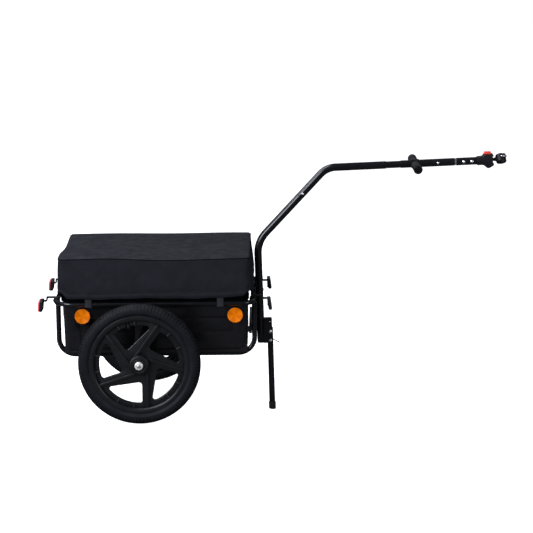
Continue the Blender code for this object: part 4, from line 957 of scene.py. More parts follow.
def grow(name: str, tree: Tree, settings: Sequence[dict[str, object]], finish: Finish, body: str,
         place: Matrix = ORIGIN, lines: Sequence[Ring] = ()) -> Thing:
    """Grow one piece from one or more runs of a Geometry Nodes tree.

    Args:
        name: the piece's name.
        tree: the tree.
        settings: for each run, the tree's inputs by name.
        finish: the piece's surface.
        body: the body that it rides on.
        place: its own frame in the trailer's level frame.
        lines: lines of points that the tree follows, where it needs some.

    Returns:
        The piece, as plain mesh.
    """
    points, edges = [], []
    for line in lines:
        edges.extend((len(points) + i, len(points) + i + 1) for i in range(len(line) - 1))
        points.extend(line)
    grown = bmesh.new()
    for values in settings:
        seed = bpy.data.meshes.new(name)
        seed.from_pydata(points, edges, [])
        thing = linked(name, seed)
        modifier = thing.modifiers.new("growth", "NODES")
        modifier.node_group = tree
        given = {**values, "Material": finish.material()}
        for socket in tree.interface.items_tree:
            if socket.in_out == "INPUT" and socket.name in given:
                modifier[socket.identifier] = given[socket.name]
        settle(thing)
        grown.from_mesh(thing.data)
        bpy.data.objects.remove(thing, do_unlink=True)
    return finished(linked(name, meshed(grown, name)), finish, body, place, sharp=50.0)


# Wheels

@dataclass
class Wheel:
    """A moulded five-spoke wheel with its tyre, hub, bearings and valve; its outer side looks towards -Y."""

    side: Side
    tyre_half_width: float = 0.0235
    rim_half_width: float = 0.0168
    inner_radius: float = 0.146
    window_radius: float = 0.13
    web: float = 0.008
    spokes: int = 5
    rib_offset: float = 0.0255
    hub_radius: float = 0.0325
    valve_angle: float = 105.0

    def carrier(self) -> tuple[str, Matrix]:
        """The body that it turns with, and its own frame, which is turned about on the left.

        Returns:
            The body and the frame.
        """
        about = Matrix.Rotation(pi if self.side is Side.LEFT else 0.0, 4, "Z")
        place = Matrix.Translation((0, self.side.value * HALF_TRACK, WHEEL_RADIUS)) @ about
        return f"wheel_{self.side.label}", place

    def add(self, name: str, shape: Shape, finish: Finish, soft: float = 0.0, cad: str = "") -> None:
        """Show a piece of this wheel.

        Args:
            name: its name without the side.
            shape: its mesh.
            finish: its surface.
            soft: radius of a bevel on its sharp edges.
            cad: the frame's node that it replaces, without the side.
        """
        label = self.side.label
        show(f"{name}_{label}", shape, finish, *self.carrier(), soft, cad=cad and f"{cad}_{label}")

    def add_blocks(self, name: str, rows: Sequence[dict[str, object]], finish: Finish) -> None:
        """Grow rings of blocks on this wheel."""
        grow(f"{name}_{self.side.label}", Growth.ring_of_blocks(), rows, finish, *self.carrier())

    def build(self) -> None:
        """Make every piece of the wheel."""
        self.tyre()
        self.rim()
        self.hub()
        self.bearings()
        self.valve()

    def tyre(self) -> None:
        """Carcass with full sidewalls, moulded rings and a block tread."""
        profile = [(0.155, -0.0121), (0.1634, -0.0138), (0.1634, -0.0172)]
        steps = 52
        for i in range(steps + 1):
            angle = radians(220 - 260 * i / steps)
            bulge = 0.0006 if min(i, steps - i) in (5, 6, 12, 13) else 0.0
            profile.append((0.1772 + (0.02 + bulge) * sin(angle), (0.0229 + bulge) * cos(angle)))
        profile += [(0.1634, 0.0172), (0.1634, 0.0138), (0.155, 0.0121)]
        self.add("tyre_carcass", lathe(profile, steps=120, closed=True), Finishes.TYRE, cad="tyre")
        rows = []
        for along, radius, size, skew, count, phase in (
                (0.0036, 0.1976, (0.0036, 0.0052, 0.0062), 24, 132, 0.0),
                (0.0104, 0.1952, (0.0044, 0.0056, 0.006), -16, 132, 0.5),
                (0.016, 0.1914, (0.0056, 0.005, 0.0062), 6, 104, 0.0),
                (0.0199, 0.1868, (0.0062, 0.0056, 0.0056), 0, 104, 0.0),
                (0.0222, 0.1812, (0.0048, 0.0026, 0.005), 0, 104, 0.0)):
            for hand in (1, -1):
                rows.append({"Count": count, "Radius": radius, "Along": hand * along, "Skew": radians(hand * skew),
                             "Phase": (phase if hand > 0 else 0.5 - phase) * tau / count, "Size": size,
                             "Lean": hand * asin(min(0.96, along / self.tyre_half_width))})
        self.add_blocks("tyre_tread", rows, Finishes.TREAD)

    def window(self, spoke: int) -> list[Vector]:
        """One opening: the far edge of a spoke, the near edge of the next, and the arc between them.

        Args:
            spoke: the number of the spoke that it follows.

        Returns:
            X and Z of its outline.
        """
        first, second = (Vector((cos(radians(-90 + 72 * k)), sin(radians(-90 + 72 * k)))) for k in (spoke, spoke + 1))
        across = Vector((-first.y, first.x))
        far, far_rim = first * 0.04 + across * 0.0535, first * 0.115 + across * 0.0405
        near = Vector((-second.y, second.x)) * 0.0075
        slope, gap = (far_rim - far).normalized(), near - far
        cross = slope.x * second.y - slope.y * second.x
        hub_corner = far + slope * ((gap.x * second.y - gap.y * second.x) / cross)
        ends = []
        for origin, heading in ((far, slope), (near, second)):
            half = origin.dot(heading)
            reach = sqrt(half * half - origin.length_squared + self.window_radius ** 2) - half
            ends.append(origin + heading * reach)
        start = atan2(ends[0].y, ends[0].x)
        reach = (atan2(ends[1].y, ends[1].x) - start) % tau
        turns = [start + reach * k / 16 for k in range(2, 15)]
        arc = [(Vector((cos(turn), sin(turn))) * self.window_radius, 0.0) for turn in turns]
        return rounded([(hub_corner, 0.011), (ends[0], 0.008), *arc, (ends[1], 0.008)])

    def rim(self) -> None:
        """Rim ring, pierced web with lips round its openings, spoke ribs and gussets."""
        wide, inner = self.rim_half_width, self.inner_radius
        half = [(0.1628, wide), (0.163, 0.015), (0.1618, 0.0141), (0.1545, 0.0125)]
        profile = [*half, *((radius, -along) for radius, along in reversed(half)), (0.15, -wide), (0.1492, -0.0162),
                   (inner, -0.0132), (inner, 0.0132), (0.1492, 0.0162), (0.15, wide)]
        self.add("rim_ring", lathe(profile, steps=120, closed=True), Finishes.WHEEL, 0.0007, "rim")
        windows = [self.window(spoke) for spoke in range(self.spokes)]
        web = plate(circle(0.148, 96), self.web, [*windows, circle(0.02, 32)])
        self.add("rim_web", carved(web, self.valve_notch()), Finishes.WHEEL, 0.001)
        lips = carved(joined(*(self.lip(window) for window in windows)), self.valve_notch())
        self.add("rim_lips", lips, Finishes.WHEEL, 0.0004)
        ribs = [placed(self.rib(), turn=rotation(-72 * spoke, "Y")) for spoke in range(self.spokes)]
        self.add("rim_ribs", joined(*ribs), Finishes.WHEEL, 0.0006)
        self.add_blocks("rim_gussets", [{"Count": self.spokes, "Radius": 0.1396, "Along": 0.0, "Size": (
            0.0156, 0.024, 0.0024), "Phase": radians(-90 + angle)} for angle in (41.0, 63.5)], Finishes.GUSSET_HIGHLIGHT)

    def lip(self, outline: Ring) -> Shape:
        """The thin raised lip round an opening.

        Args:
            outline: the opening's outline.

        Returns:
            The lip.
        """
        centre = sum(outline, Vector((0, 0))) / len(outline)
        rings = []
        for out, height in ((0.0, 0.0046), (0.0, -0.0046), (0.003, -0.0054), (0.003, 0.0054)):
            ring = []
            for point, tangent in zip(outline, tangents(outline, closed=True)):
                normal = Vector((tangent.y, -tangent.x))
                if normal.dot(point - centre) < 0:
                    normal.negate()
                spot = point + normal * (out + CLEARANCE)
                ring.append((spot.x, height, spot.y))
            rings.append(ring)
        return loft(rings, caps=False, closed=True)

    def valve_notch(self) -> Shape:
        """A slot through the web and its lip, so that a pump reaches the valve."""
        notch = block((0.118, -0.02, -0.008), (0.1478, 0.02, 0.008), 0.0)
        return placed(notch, turn=rotation(-self.valve_angle, "Y"))

    def rib(self) -> Shape:
        """The raised rib of one spoke, which starts beside the hub and tapers out to the rim.

        Returns:
            The rib of the spoke that points down.
        """
        rings = []
        for reach, half, height in ((-0.012, 0.0044, 0.012), (0.03, 0.0042, 0.012), (0.1, 0.0038, 0.0112),
                                    (0.1465, 0.0042, 0.0118)):
            section = [(-half, height), (half, height), (half, -height), (-half, -height)]
            rings.append([(self.rib_offset + across, along, -reach) for across, along in section])
        return loft(rings)

    def hub(self) -> None:
        """The boss in the middle, with a pocket for a bearing at each end."""
        profile = [(0.0143, 0.0265), (0.0196, 0.0265), (0.0204, 0.0257), (0.0216, 0.0257), (0.0224, 0.0265),
                   (0.0285, 0.0262), (0.031, 0.0248), (self.hub_radius, 0.0225), (self.hub_radius, -0.01),
                   (0.024, -0.027), (0.021, -0.0325), (0.0143, -0.0325), (0.0143, -0.0242), (0.0105, -0.0242),
                   (0.0105, 0.0182), (0.0143, 0.0182)]
        self.add("hub", lathe(profile, steps=72, closed=True, hand=-1), Finishes.HUB, 0.0005)

    def bearings(self) -> None:
        """The two bearings with the spacer sleeve between them, and the seals on their faces."""
        bore, sleeve, radius, edge = 0.0063, 0.0086, 0.014, 0.0006
        inner, outer, width = 0.0325, -0.0265, 0.008
        profile = [(bore, inner), (radius - edge, inner), (radius, inner - edge), (radius, inner - width),
                   (sleeve, inner - width), (sleeve, outer + width), (radius, outer + width),
                   (radius, outer + edge), (radius - edge, outer), (bore, outer)]
        self.add("bearing_races", lathe(profile, steps=48, closed=True), Finishes.STEEL, cad="bearings")
        seals = []
        for face, sign in ((inner, 1), (outer, -1)):
            low, high = face - sign * 0.0004, face + sign * 0.00015
            seals.append(lathe([(sleeve, low), (0.012, low), (0.0117, high), (0.0089, high)], steps=40, closed=True))
        self.add("bearing_seals", joined(*seals), Finishes.SEAL)

    def valve(self) -> None:
        """The valve stem, with its thread and a moulded cap."""
        angle = radians(self.valve_angle)
        foot, lean = Vector((0.1538 * cos(angle), 0.0, 0.1538 * sin(angle))), rotation(270 - self.valve_angle, "Y")
        stem = [(0.0, 0.0), (0.0033, 0.0)]
        for k in range(9):
            stem += [(0.003, 0.0012 + 0.002 * k), (0.0034, 0.0022 + 0.002 * k)]
        stem += [(0.003, 0.0195), (0.0, 0.0195)]
        self.add("valve_stem", placed(lathe(stem, Z, 20), foot, lean), Finishes.SEAL, cad="valve")
        cap = [(0.0, 0.019), (0.0042, 0.019), (0.0044, 0.02), (0.0044, 0.0285), (0.0036, 0.0305), (0.0, 0.031)]
        self.add("valve_cap", placed(lathe(cap, Z, 20), foot, lean), Finishes.SEAL)


@dataclass
class Axle:
    """A stub axle with its domed head and its push button."""

    side: Side
    radius: float = 0.006
    inner: float = 0.3068
    outer: float = 0.315
    tip: float = 0.2

    def build(self) -> None:
        """Make the axle and the button."""
        place, label, outer = Matrix.Translation((0, 0, WHEEL_RADIUS)), self.side.label, self.outer
        pin = [(0.0, self.tip), (0.0045, self.tip), (self.radius, self.tip + 0.002), (self.radius, self.inner),
               (0.0134, self.inner), (0.014, self.inner + 0.0008), (0.014, outer - 0.0042), (0.0137, outer - 0.0028),
               (0.013, outer - 0.0014), (0.0118, outer - 0.0004), (0.0104, outer), (0.0066, outer),
               (0.0061, outer - 0.0005), (0.0061, outer - 0.006), (0.0, outer - 0.006)]
        show(f"axle_pin_{label}", lathe(pin, steps=48, hand=self.side.value), Finishes.DOME, place=place,
             cad=f"axle_{label}")
        button = [(0.0, outer - 0.003), (0.0057, outer - 0.003), (0.0058, outer + 0.0014), (0.0054, outer + 0.0024),
                  (0.0044, outer + 0.003), (0.0024, outer + 0.0033), (0.0, outer + 0.0033)]
        show(f"axle_push_{label}", lathe(button, steps=36, hand=self.side.value), Finishes.CHROME,
             f"axle_push_{label}", place, cad=f"axle_button_{label}")


# Frame

@dataclass
class TubeFrame:
    """Hoop round the tub, two rails under it, the axle beam and what joins them."""

    hoop_tube: float = 0.016
    hoop_rear: float = -0.277
    hoop_front: float = 0.37
    hoop_half: float = 0.215
    hoop_height: float = 0.385
    rail_tube: float = 0.017
    rail_rear: float = -0.2718
    rail_front: float = 0.3745
    rail_offset: float = 0.15
    rail_height: float = 0.2035
    rail_bend: float = 0.053
    beam_height: float = 0.1707
    beam_half: float = 0.223
    plate_face: float = 0.2233
    plate_thickness: float = 0.004

    def build(self) -> None:
        """Make every piece of the frame."""
        self.hoop()
        self.cross_members()
        for side in Side:
            self.rail(side)
            self.axle_plate(side)

    def hoop(self) -> None:
        """The top hoop, one tube bent round the tub."""
        rear, front, half = self.hoop_rear, self.hoop_front, self.hoop_half
        corners = [((rear, -half), 0.058), ((front, -half), 0.036), ((front, half), 0.036), ((rear, half), 0.058)]
        path = [Vector((*point, self.hoop_height)) for point in rounded(corners, 14)]
        show("hoop", sweep_tube(path, self.hoop_tube / 2, Z, closed=True), cad="hoop_tube")

    def rail(self, side: Side) -> None:
        """A U tube that hangs from the hoop and runs under the tub, with the weld at each end.

        Args:
            side: which rail.
        """
        top, low = self.hoop_height - self.hoop_tube / 2 - CLEARANCE, self.rail_height
        y, rear, front = side.value * self.rail_offset, self.rail_rear, self.rail_front
        path = fillet([(rear, y, top), (rear, y, low), (front, y, low), (front, y, top)], self.rail_bend, 16)
        show(f"under_rail_{side.label}", sweep_tube(path, self.rail_tube / 2, Y), cad=f"rail_{side.label}")
        beads = []
        for x in (rear, front):
            ring = []
            for angle in (tau * k / 40 for k in range(40)):
                reach = 0.0086 + (0.0002 * sin(13 * angle) + 0.00015 * sin(29 * angle))
                ring.append(Vector((x + reach * cos(angle), y + reach * sin(angle),
                                    top - 0.0006 - 0.001 * abs(sin(angle)))))
            beads.append(sweep_tube(ring, 0.0014, Z, closed=True, sides=10))
        show(f"rail_welds_{side.label}", joined(*beads))

    def cross_members(self) -> None:
        """Two flats under the tub, the front plate with its lug, and the axle beam on its saddles."""
        bottom = self.rail_height + self.rail_tube / 2 + CLEARANCE
        for end, x in (("rear", -0.15), ("front", 0.23)):
            flat = block((x - 0.015, -0.158, bottom), (x + 0.015, 0.158, bottom + 0.0034))
            show(f"cross_strip_{end}", flat, cad=f"cross_flat_{end}")
        front = self.rail_front - self.rail_tube / 2 - CLEARANCE
        plate_bar = block((front - 0.0095, -0.158, 0.27), (front, 0.158, 0.2915), 0.0012)
        lug = block((front - 0.004, -0.012, 0.272), (0.381, 0.012, 0.2895), 0.0006)
        show("front_plate", joined(plate_bar, lug), cad="front_cross_plate")
        ends = [Vector((0, y, self.beam_height)) for y in (-self.beam_half, self.beam_half)]
        saddle_top = self.rail_height - self.rail_tube / 2 - CLEARANCE
        saddles = [block((-0.009, low, self.beam_height), (0.009, high, saddle_top))
                   for low, high in ((-0.16, -0.14), (0.14, 0.16))]
        show("axle_tube", joined(sweep_tube(ends, 0.012, X), *saddles), cad="axle_beam")

    def axle_plate(self, side: Side) -> None:
        """The plate from the axle tube up to the hoop, with the bush for the axle.

        Args:
            side: which plate.
        """
        bottom, top = 0.156, self.hoop_height + 0.006
        corners = [((-0.026, bottom), 0.01), ((0.026, bottom), 0.01), ((0.03, 0.2), 0.03), ((0.015, 0.262), 0.04),
                   ((0.015, top), 0.004), ((-0.015, top), 0.004), ((-0.015, 0.262), 0.04), ((-0.03, 0.2), 0.03)]
        y = side.value * (self.plate_face + self.plate_thickness / 2)
        sheet = plate(rounded(corners, 10), self.plate_thickness, [circle(0.0095, 32, WHEEL_RADIUS)])
        show(f"side_plate_{side.label}", placed(sheet, (0, y, 0)), soft=0.0005, cad=f"axle_plate_{side.label}")
        outside = self.plate_face + self.plate_thickness
        bush = [(0.0063, 0.202), (0.0105, 0.202), (0.011, 0.2026), (0.011, outside - 0.001), (0.015, outside - 0.001),
                (0.015, outside + 0.0026), (0.0143, outside + 0.0034), (0.012, outside + 0.0046), (0.012, 0.2462),
                (0.0114, 0.2468), (0.0063, 0.2468)]
        show(f"axle_bush_{side.label}", placed(lathe(bush, steps=40, closed=True, hand=side.value),
                                               (0, 0, WHEEL_RADIUS)))


# Tow bar and handle

@dataclass
class TowBar:
    """The bent bar in three lengths that plug into each other, its lock buttons and its fixing to the hoop."""

    tube: float = 0.0254
    spigot: float = 0.023
    foot: tuple[float, float] = (0.396, 0.202)
    first_bend: tuple[float, float] = (0.387, 0.549)
    second_bend: tuple[float, float] = (0.619, 0.797)
    end: tuple[float, float] = (1.0455, 0.81265)
    bend_radii: tuple[float, float] = (0.1, 0.072)
    slope: float = 2.1
    joint_x: float = 0.53
    spigot_shown: tuple[float, float] = (0.817, 0.865)

    def on_top_run(self, x: float) -> Vector:
        """A point on the centre line of the bar's top stretch."""
        return Vector((x, 0, self.end[1] - (self.end[0] - x) * tan(radians(self.slope))))

    def length(self, name: str, path: Ring, round_ends: float = 0.001, cad: str = "", tube: float = 0.0) -> None:
        """Show one length of the bar; it has the bar's own diameter where no other tube is given."""
        show(name, sweep_tube(path, (tube or self.tube) / 2, Y, sides=36, round_ends=round_ends), cad=cad)

    def build(self) -> None:
        """Make every piece of the bar."""
        foot, first, second = (Vector((x, 0, z)) for x, z in (self.foot, self.first_bend, self.second_bend))
        rise = (second - first).normalized()
        joint = first + rise * ((self.joint_x - first.x) / rise.x)
        run, (rear, front) = self.on_top_run, self.spigot_shown
        lower = fillet([foot, first, joint - rise * CLEARANCE], self.bend_radii[0], 24)
        self.length("bar_lower", lower, cad="tow_bar_lower")
        upper = fillet([joint, second, run(rear)], self.bend_radii[1], 20)
        self.length("bar_upper", upper, cad="tow_bar_upper")
        self.length("bar_spigot", [run(rear - 0.004), run(front + 0.004)], 0.0008, tube=self.spigot)
        self.length("bar_handle_length", [run(front), run(self.end[0])], 0.0012, "handle_tube")
        self.lock_button("lower", joint + rise * 0.013)
        self.lock_button("upper", run(0.989))
        self.fixing()

    def lock_button(self, which: str, spot: Vector) -> None:
        """A domed lock button, with the rolled edge of its hole.

        Args:
            which: lower or upper.
            spot: where it crosses the bar's centre line.
        """
        wall, place = self.tube / 2, Matrix.Translation(spot)
        dome = [(0.0, 0.0105), (0.0045, 0.0105), (0.0045, wall + 0.0012), (0.0041, wall + 0.0024),
                (0.003, wall + 0.0034), (0.0016, wall + 0.0039), (0.0, wall + 0.004)]
        show(f"snap_dome_{which}", lathe(dome, steps=28, hand=-1), Finishes.CHROME, f"snap_{which}", place,
             cad=f"snap_button_{which}")
        ring = [(0.0048, wall - 0.0012), (0.0062, wall - 0.0012), (0.006, wall + 0.0001), (0.005, wall + 0.0004),
                (0.0048, wall + 0.0001)]
        show(f"snap_hole_edge_{which}", lathe(ring, steps=28, closed=True, hand=-1), place=place)

    def fixing(self) -> None:
        """The lug between hoop and bar, and the bolt through both."""
        height, front = 0.385, 0.37
        share = (height - self.foot[1]) / (self.first_bend[1] - self.foot[1])
        middle = self.foot[0] + (self.first_bend[0] - self.foot[0]) * share
        low, top = height + 0.008 + CLEARANCE, 0.421
        lug = [(front - 0.003, low), (middle, low), (middle, top), (front + 0.0055, top), (front + 0.0055, 0.4045),
               (front - 0.003, low + 0.006)]
        show("bar_lug", plate(lug, 0.02), soft=0.0008, cad="tow_bar_clamp")
        back, ahead = front - 0.008, middle + self.tube / 2
        profile = [(0.0, back - 0.0036), (0.0046, back - 0.0034), (0.005, back - 0.0028), (0.005, back - 0.0003),
                   (0.003, back - 0.0003), (0.003, ahead + 0.0003), (0.0052, ahead + 0.0003), (0.0049, ahead + 0.0011),
                   (0.0036, ahead + 0.002), (0.0018, ahead + 0.0024), (0.0, ahead + 0.0025)]
        show("bar_bolt", lathe(profile, X, 28), Finishes.CHROME, place=Matrix.Translation((0, 0, height)),
             cad="tow_bar_bolt")


@dataclass
class PushHandle:
    """The crossbar on its collar, with a foam grip on each end."""

    bar: TowBar
    x: float = 0.9139
    half_length: float = 0.135
    bar_radius: float = 0.01
    grip_length: float = 0.105
    grip_radius: float = 0.015

    def build(self) -> None:
        """Make the crossbar, its collar and the grips."""
        middle = self.bar.on_top_run(self.x)
        centre = Matrix.Translation(middle - Z * 0.0015)
        shaft = sweep_tube([Y * -self.half_length, Y * self.half_length], self.bar_radius, X)
        show("crossbar", shaft, place=centre, cad="handle_crossbar")
        inner, outer = self.bar.tube / 2 + 0.0001, self.bar.tube / 2 + 0.0025
        collar = [(inner, -0.0125), (outer - 0.0007, -0.0125), (outer, -0.0118), (outer, 0.0118),
                  (outer - 0.0007, 0.0125), (inner, 0.0125)]
        along = Matrix.Translation(middle) @ rotation(-self.bar.slope, "Y")
        show("crossbar_collar", lathe(collar, X, 40, closed=True), place=along)
        for side in Side:
            self.grip(side, centre)

    def grip(self, side: Side, centre: Matrix) -> None:
        """One foam grip, a little swollen, with a rounded closed end.

        Args:
            side: which grip.
            centre: the middle of the crossbar.
        """
        end, start = self.half_length, self.half_length - self.grip_length
        bore, radius = self.bar_radius + CLEARANCE, self.grip_radius
        profile = [(bore, end - 0.001), (bore + 0.0015, end + 0.0002), (radius - 0.0014, end),
                   (radius - 0.0004, end - 0.0016), (radius, end - 0.004)]
        for share in (k / 16 for k in range(1, 16)):
            wave = 0.00022 * noise.noise(Vector((share * 9.0, side.value * 3.0, 0.0)))
            profile.append((radius - 0.0003 + wave, end - 0.004 - (self.grip_length - 0.008) * share))
        profile += [(radius, start + 0.004), (radius - 0.0005, start + 0.0014), (radius - 0.0018, start), (bore, start)]
        show(f"foam_grip_{side.label}", lathe(profile, steps=40, closed=True, hand=side.value), Finishes.FOAM,
             place=centre, cad=f"handle_grip_{side.label}")


# Hitch

@dataclass
class Hitch:
    """Shank, sleeve, moulded coupler with its release button, ball stud and seat-post clamp."""

    start: tuple[float, float] = (1.0455, 0.81265)
    slope: float = 2.1
    tube: float = 0.0254
    spigot: float = 0.023
    sleeve: tuple[float, float] = (0.005, 0.074)
    housing_end: float = 0.13
    housing_half: float = 0.018
    ball_ahead: float = 0.1095
    ball_radius: float = 0.0098
    stud_pitch: float = 5.0
    clamp_roll: float = 58.0
    clamp_ahead: float = 0.045
    clamp_radius: float = 0.0172
    clamp_bore: float = 0.0137
    clamp_width: float = 0.026
    split_turn: float = 66.0

    @property
    def place(self) -> Matrix:
        """The hitch's own frame, with X along the bar."""
        return Matrix.Translation((self.start[0], 0, self.start[1])) @ rotation(-self.slope, "Y")

    @property
    def ball(self) -> Matrix:
        """The frame of the ball stud, pitched a little nose-up."""
        return self.place @ Matrix.Translation((self.ball_ahead, 0, 0)) @ rotation(-self.stud_pitch, "Y")

    def build(self) -> None:
        """Make every piece of the hitch."""
        shank = sweep_tube([X * -0.036, X * 0.088], self.spigot / 2, Y, sides=36)
        show("shank", shank, Finishes.ZINC, place=self.place, cad="hitch_shank")
        (low, high), bore, outer = self.sleeve, self.spigot / 2 + 0.0001, self.tube / 2
        profile = [(bore, low), (outer - 0.0006, low), (outer, low + 0.0007), (outer, high - 0.0007),
                   (outer - 0.0006, high), (bore, high)]
        show("shank_sleeve", lathe(profile, X, 40, closed=True), place=self.place, cad="hitch_sleeve")
        for number, ahead in enumerate((0.0295, 0.0565), start=1):
            self.cross_bolt(number, ahead)
        self.housing()
        self.release_button()
        self.ball_and_cup()
        self.clamp()

    def cross_bolt(self, number: int, ahead: float) -> None:
        """A dome-headed bolt across the sleeve, with its washer and nut.

        Args:
            number: 1 or 2.
            ahead: its place along the shank.
        """
        wall = self.tube / 2
        profile = [(0.0, wall + 0.0062), (0.003, wall + 0.0058), (0.003, -wall + 0.002), (0.0056, -wall + 0.0004),
                   (0.0056, -wall - 0.0005), (0.005, -wall - 0.0016), (0.0036, -wall - 0.0027),
                   (0.0016, -wall - 0.0033), (0.0, -wall - 0.0034)]
        nut = placed(hexagon(0.01, 0.004), (0, wall + 0.0005, 0), rotation(-90, "X"))
        show(f"shank_bolt_{number}", joined(lathe(profile, steps=28), nut), Finishes.CHROME,
             place=self.place @ Matrix.Translation((ahead, 0, 0)), cad=f"hitch_bolt_{number}")

    def housing(self) -> None:
        """The moulded coupler with its socket, ball chamber, mouth and the button's well."""
        back, end, at_ball = self.sleeve[1] + CLEARANCE, self.housing_end, (self.ball_ahead, 0, 0)
        points = [((back, -0.0132), 0.0), ((0.0935, -0.013), 0.01), ((0.1075, -0.025), 0.006),
                  ((0.115, -0.024), 0.004), ((0.1285, -0.0165), 0.004), ((end, -0.004), 0.004), ((end, 0.01), 0.004),
                  ((0.1272, 0.0215), 0.003), ((0.0985, 0.0225), 0.003), ((0.0925, 0.0142), 0.005),
                  ((back, 0.0132), 0.0)]
        rings = []
        for across, inset in ((-1.0, 0.0024), (-0.985, 0.0013), (-0.94, 0.0004), (-0.87, 0.0), (0.87, 0.0),
                              (0.94, 0.0004), (0.985, 0.0013), (1.0, 0.0024)):
            outline = rounded(drawn_in(points, inset), 6)
            rings.append([(point.x, across * self.housing_half, point.y) for point in outline])
        chamber = bmesh.new()
        bmesh.ops.create_uvsphere(chamber, u_segments=32, v_segments=20, radius=0.015)
        reach, narrow = 0.045, 0.005
        wedge = [(0.002, -narrow), (reach, -narrow - reach * tan(radians(14))),
                 (reach, narrow + reach * tan(radians(22))), (0.002, narrow)]
        mouth = lathe(wedge, Z, 24, -radians(48), radians(96), closed=True)
        well = block((0.0975, -0.0085, 0.011), (0.1215, 0.0085, 0.04), 0.0006)
        socket = lathe([(0.0, 0.06), (0.0118, 0.06), (0.0118, 0.0885), (0.0, 0.0885)], X, 40)
        shape = carved(loft(rings), placed(chamber, at_ball), placed(mouth, at_ball), well, socket)
        show("coupler", shape, Finishes.HITCH, place=self.place, sharp=30.0, cad="hitch_housing")

    def release_button(self) -> None:
        """The red button on top of the coupler, with its finger ribs."""
        place = self.place @ Matrix.Translation((0.1095, 0, 0.02))
        key = block((-0.0115, -0.008, -0.0013), (0.0115, 0.008, 0.0092), 0.002, 4)
        show("release_key", key, Finishes.BUTTON, "hitch_release", place, cad="hitch_button")
        ribs = {"Count": 6, "Start": (-0.008, 0, 0.0093), "Step": (0.0032, 0, 0), "Size": (0.0011, 0.0118, 0.0012)}
        grow("release_key_ribs", Growth.row_of_blocks(), [ribs], Finishes.BUTTON, "hitch_release", place)

    def ball_and_cup(self) -> None:
        """The cup that holds the ball, and the ball with its neck and flange."""
        outer, inner, opening = 0.0138, 0.0105, radians(48)
        angles = [opening + (pi - opening) * k / 16 for k in range(17)]
        profile = [(outer * sin(a), outer * cos(a)) for a in angles]
        profile += [(inner * sin(a), inner * cos(a)) for a in reversed(angles)]
        show("ball_socket", lathe([*profile, profile[0]], X, 40), Finishes.ZINC, "ball_cup", self.ball,
             cad="hitch_ball_cup")
        neck, ring_back = 0.005, self.clamp_ahead - self.clamp_radius
        start = asin(neck / self.ball_radius)
        angles = [pi - (pi - start) * k / 14 for k in range(15)]
        stud = [(self.ball_radius * sin(a), self.ball_radius * cos(a)) for a in angles]
        stud += [(neck, ring_back - 0.0068), (0.0056, ring_back - 0.006), (0.0062, ring_back - 0.0054),
                 (0.0062, ring_back - 0.0026), (0.0058, ring_back - 0.0022), (0.0, ring_back - 0.0022)]
        show("ball_stem", lathe(stud, X, 36), body="ball_stud", place=self.ball, cad="hitch_ball_stud")

    def clamp(self) -> None:
        """The split collar for the bicycle's seat post, with its ears, boss and screw."""
        roll = self.ball @ Matrix.Translation((self.clamp_ahead, 0, 0)) @ rotation(self.clamp_roll, "X")
        place = roll @ rotation(-self.split_turn, "Y")
        half_gap, ear, ear_end, screw_x = 0.003, 0.0036, 0.0232, 0.0196
        opening = asin(half_gap / self.clamp_radius)
        half, bore, outer = self.clamp_width / 2, self.clamp_bore, self.clamp_radius - 0.0003
        section = [(bore, -half + 0.0006), (bore + 0.0006, -half), (outer - 0.0008, -half), (outer, -half + 0.0008),
                   (outer, half - 0.0008), (outer - 0.0008, half), (bore + 0.0006, half), (bore, half - 0.0006)]
        ring = lathe(section, Y, 60, pi / 2 + opening, tau - 2 * opening, closed=True)
        near, far = half_gap, half_gap + ear
        ears = [block((0.0144, -0.009, low), (ear_end, 0.009, high), 0.0011, 3) for low, high in (
            (near, far), (-far, -near))]
        boss = lathe([(0.0, -outer - 0.0018), (0.0078, -outer - 0.0018), (0.0085, -outer - 0.001),
                      (0.0085, -outer + 0.0025), (0.0, -outer + 0.0025)], X, 32)
        boss = placed(boss, turn=rotation(self.split_turn, "Y"))
        show("seat_post_collar", joined(ring, *ears, boss), Finishes.HITCH, "seat_post_clamp", place, sharp=30.0,
             cad="clamp_collar")
        head = half_gap + ear + CLEARANCE
        screw = [(0.0, -head - 0.003), (0.0034, -head - 0.003), (0.0036, -head - 0.0026), (0.0036, -head),
                 (0.0025, -head), (0.0025, head), (0.0036, head), (0.0036, head + 0.0031), (0.0032, head + 0.0035),
                 (0.0017, head + 0.0035), (0.0017, head + 0.002), (0.0, head + 0.002)]
        show("collar_screw", lathe(screw, Z, 28), Finishes.ZINC, "seat_post_clamp",
             place @ Matrix.Translation((screw_x, 0, 0)), cad="clamp_screw")


# Stand

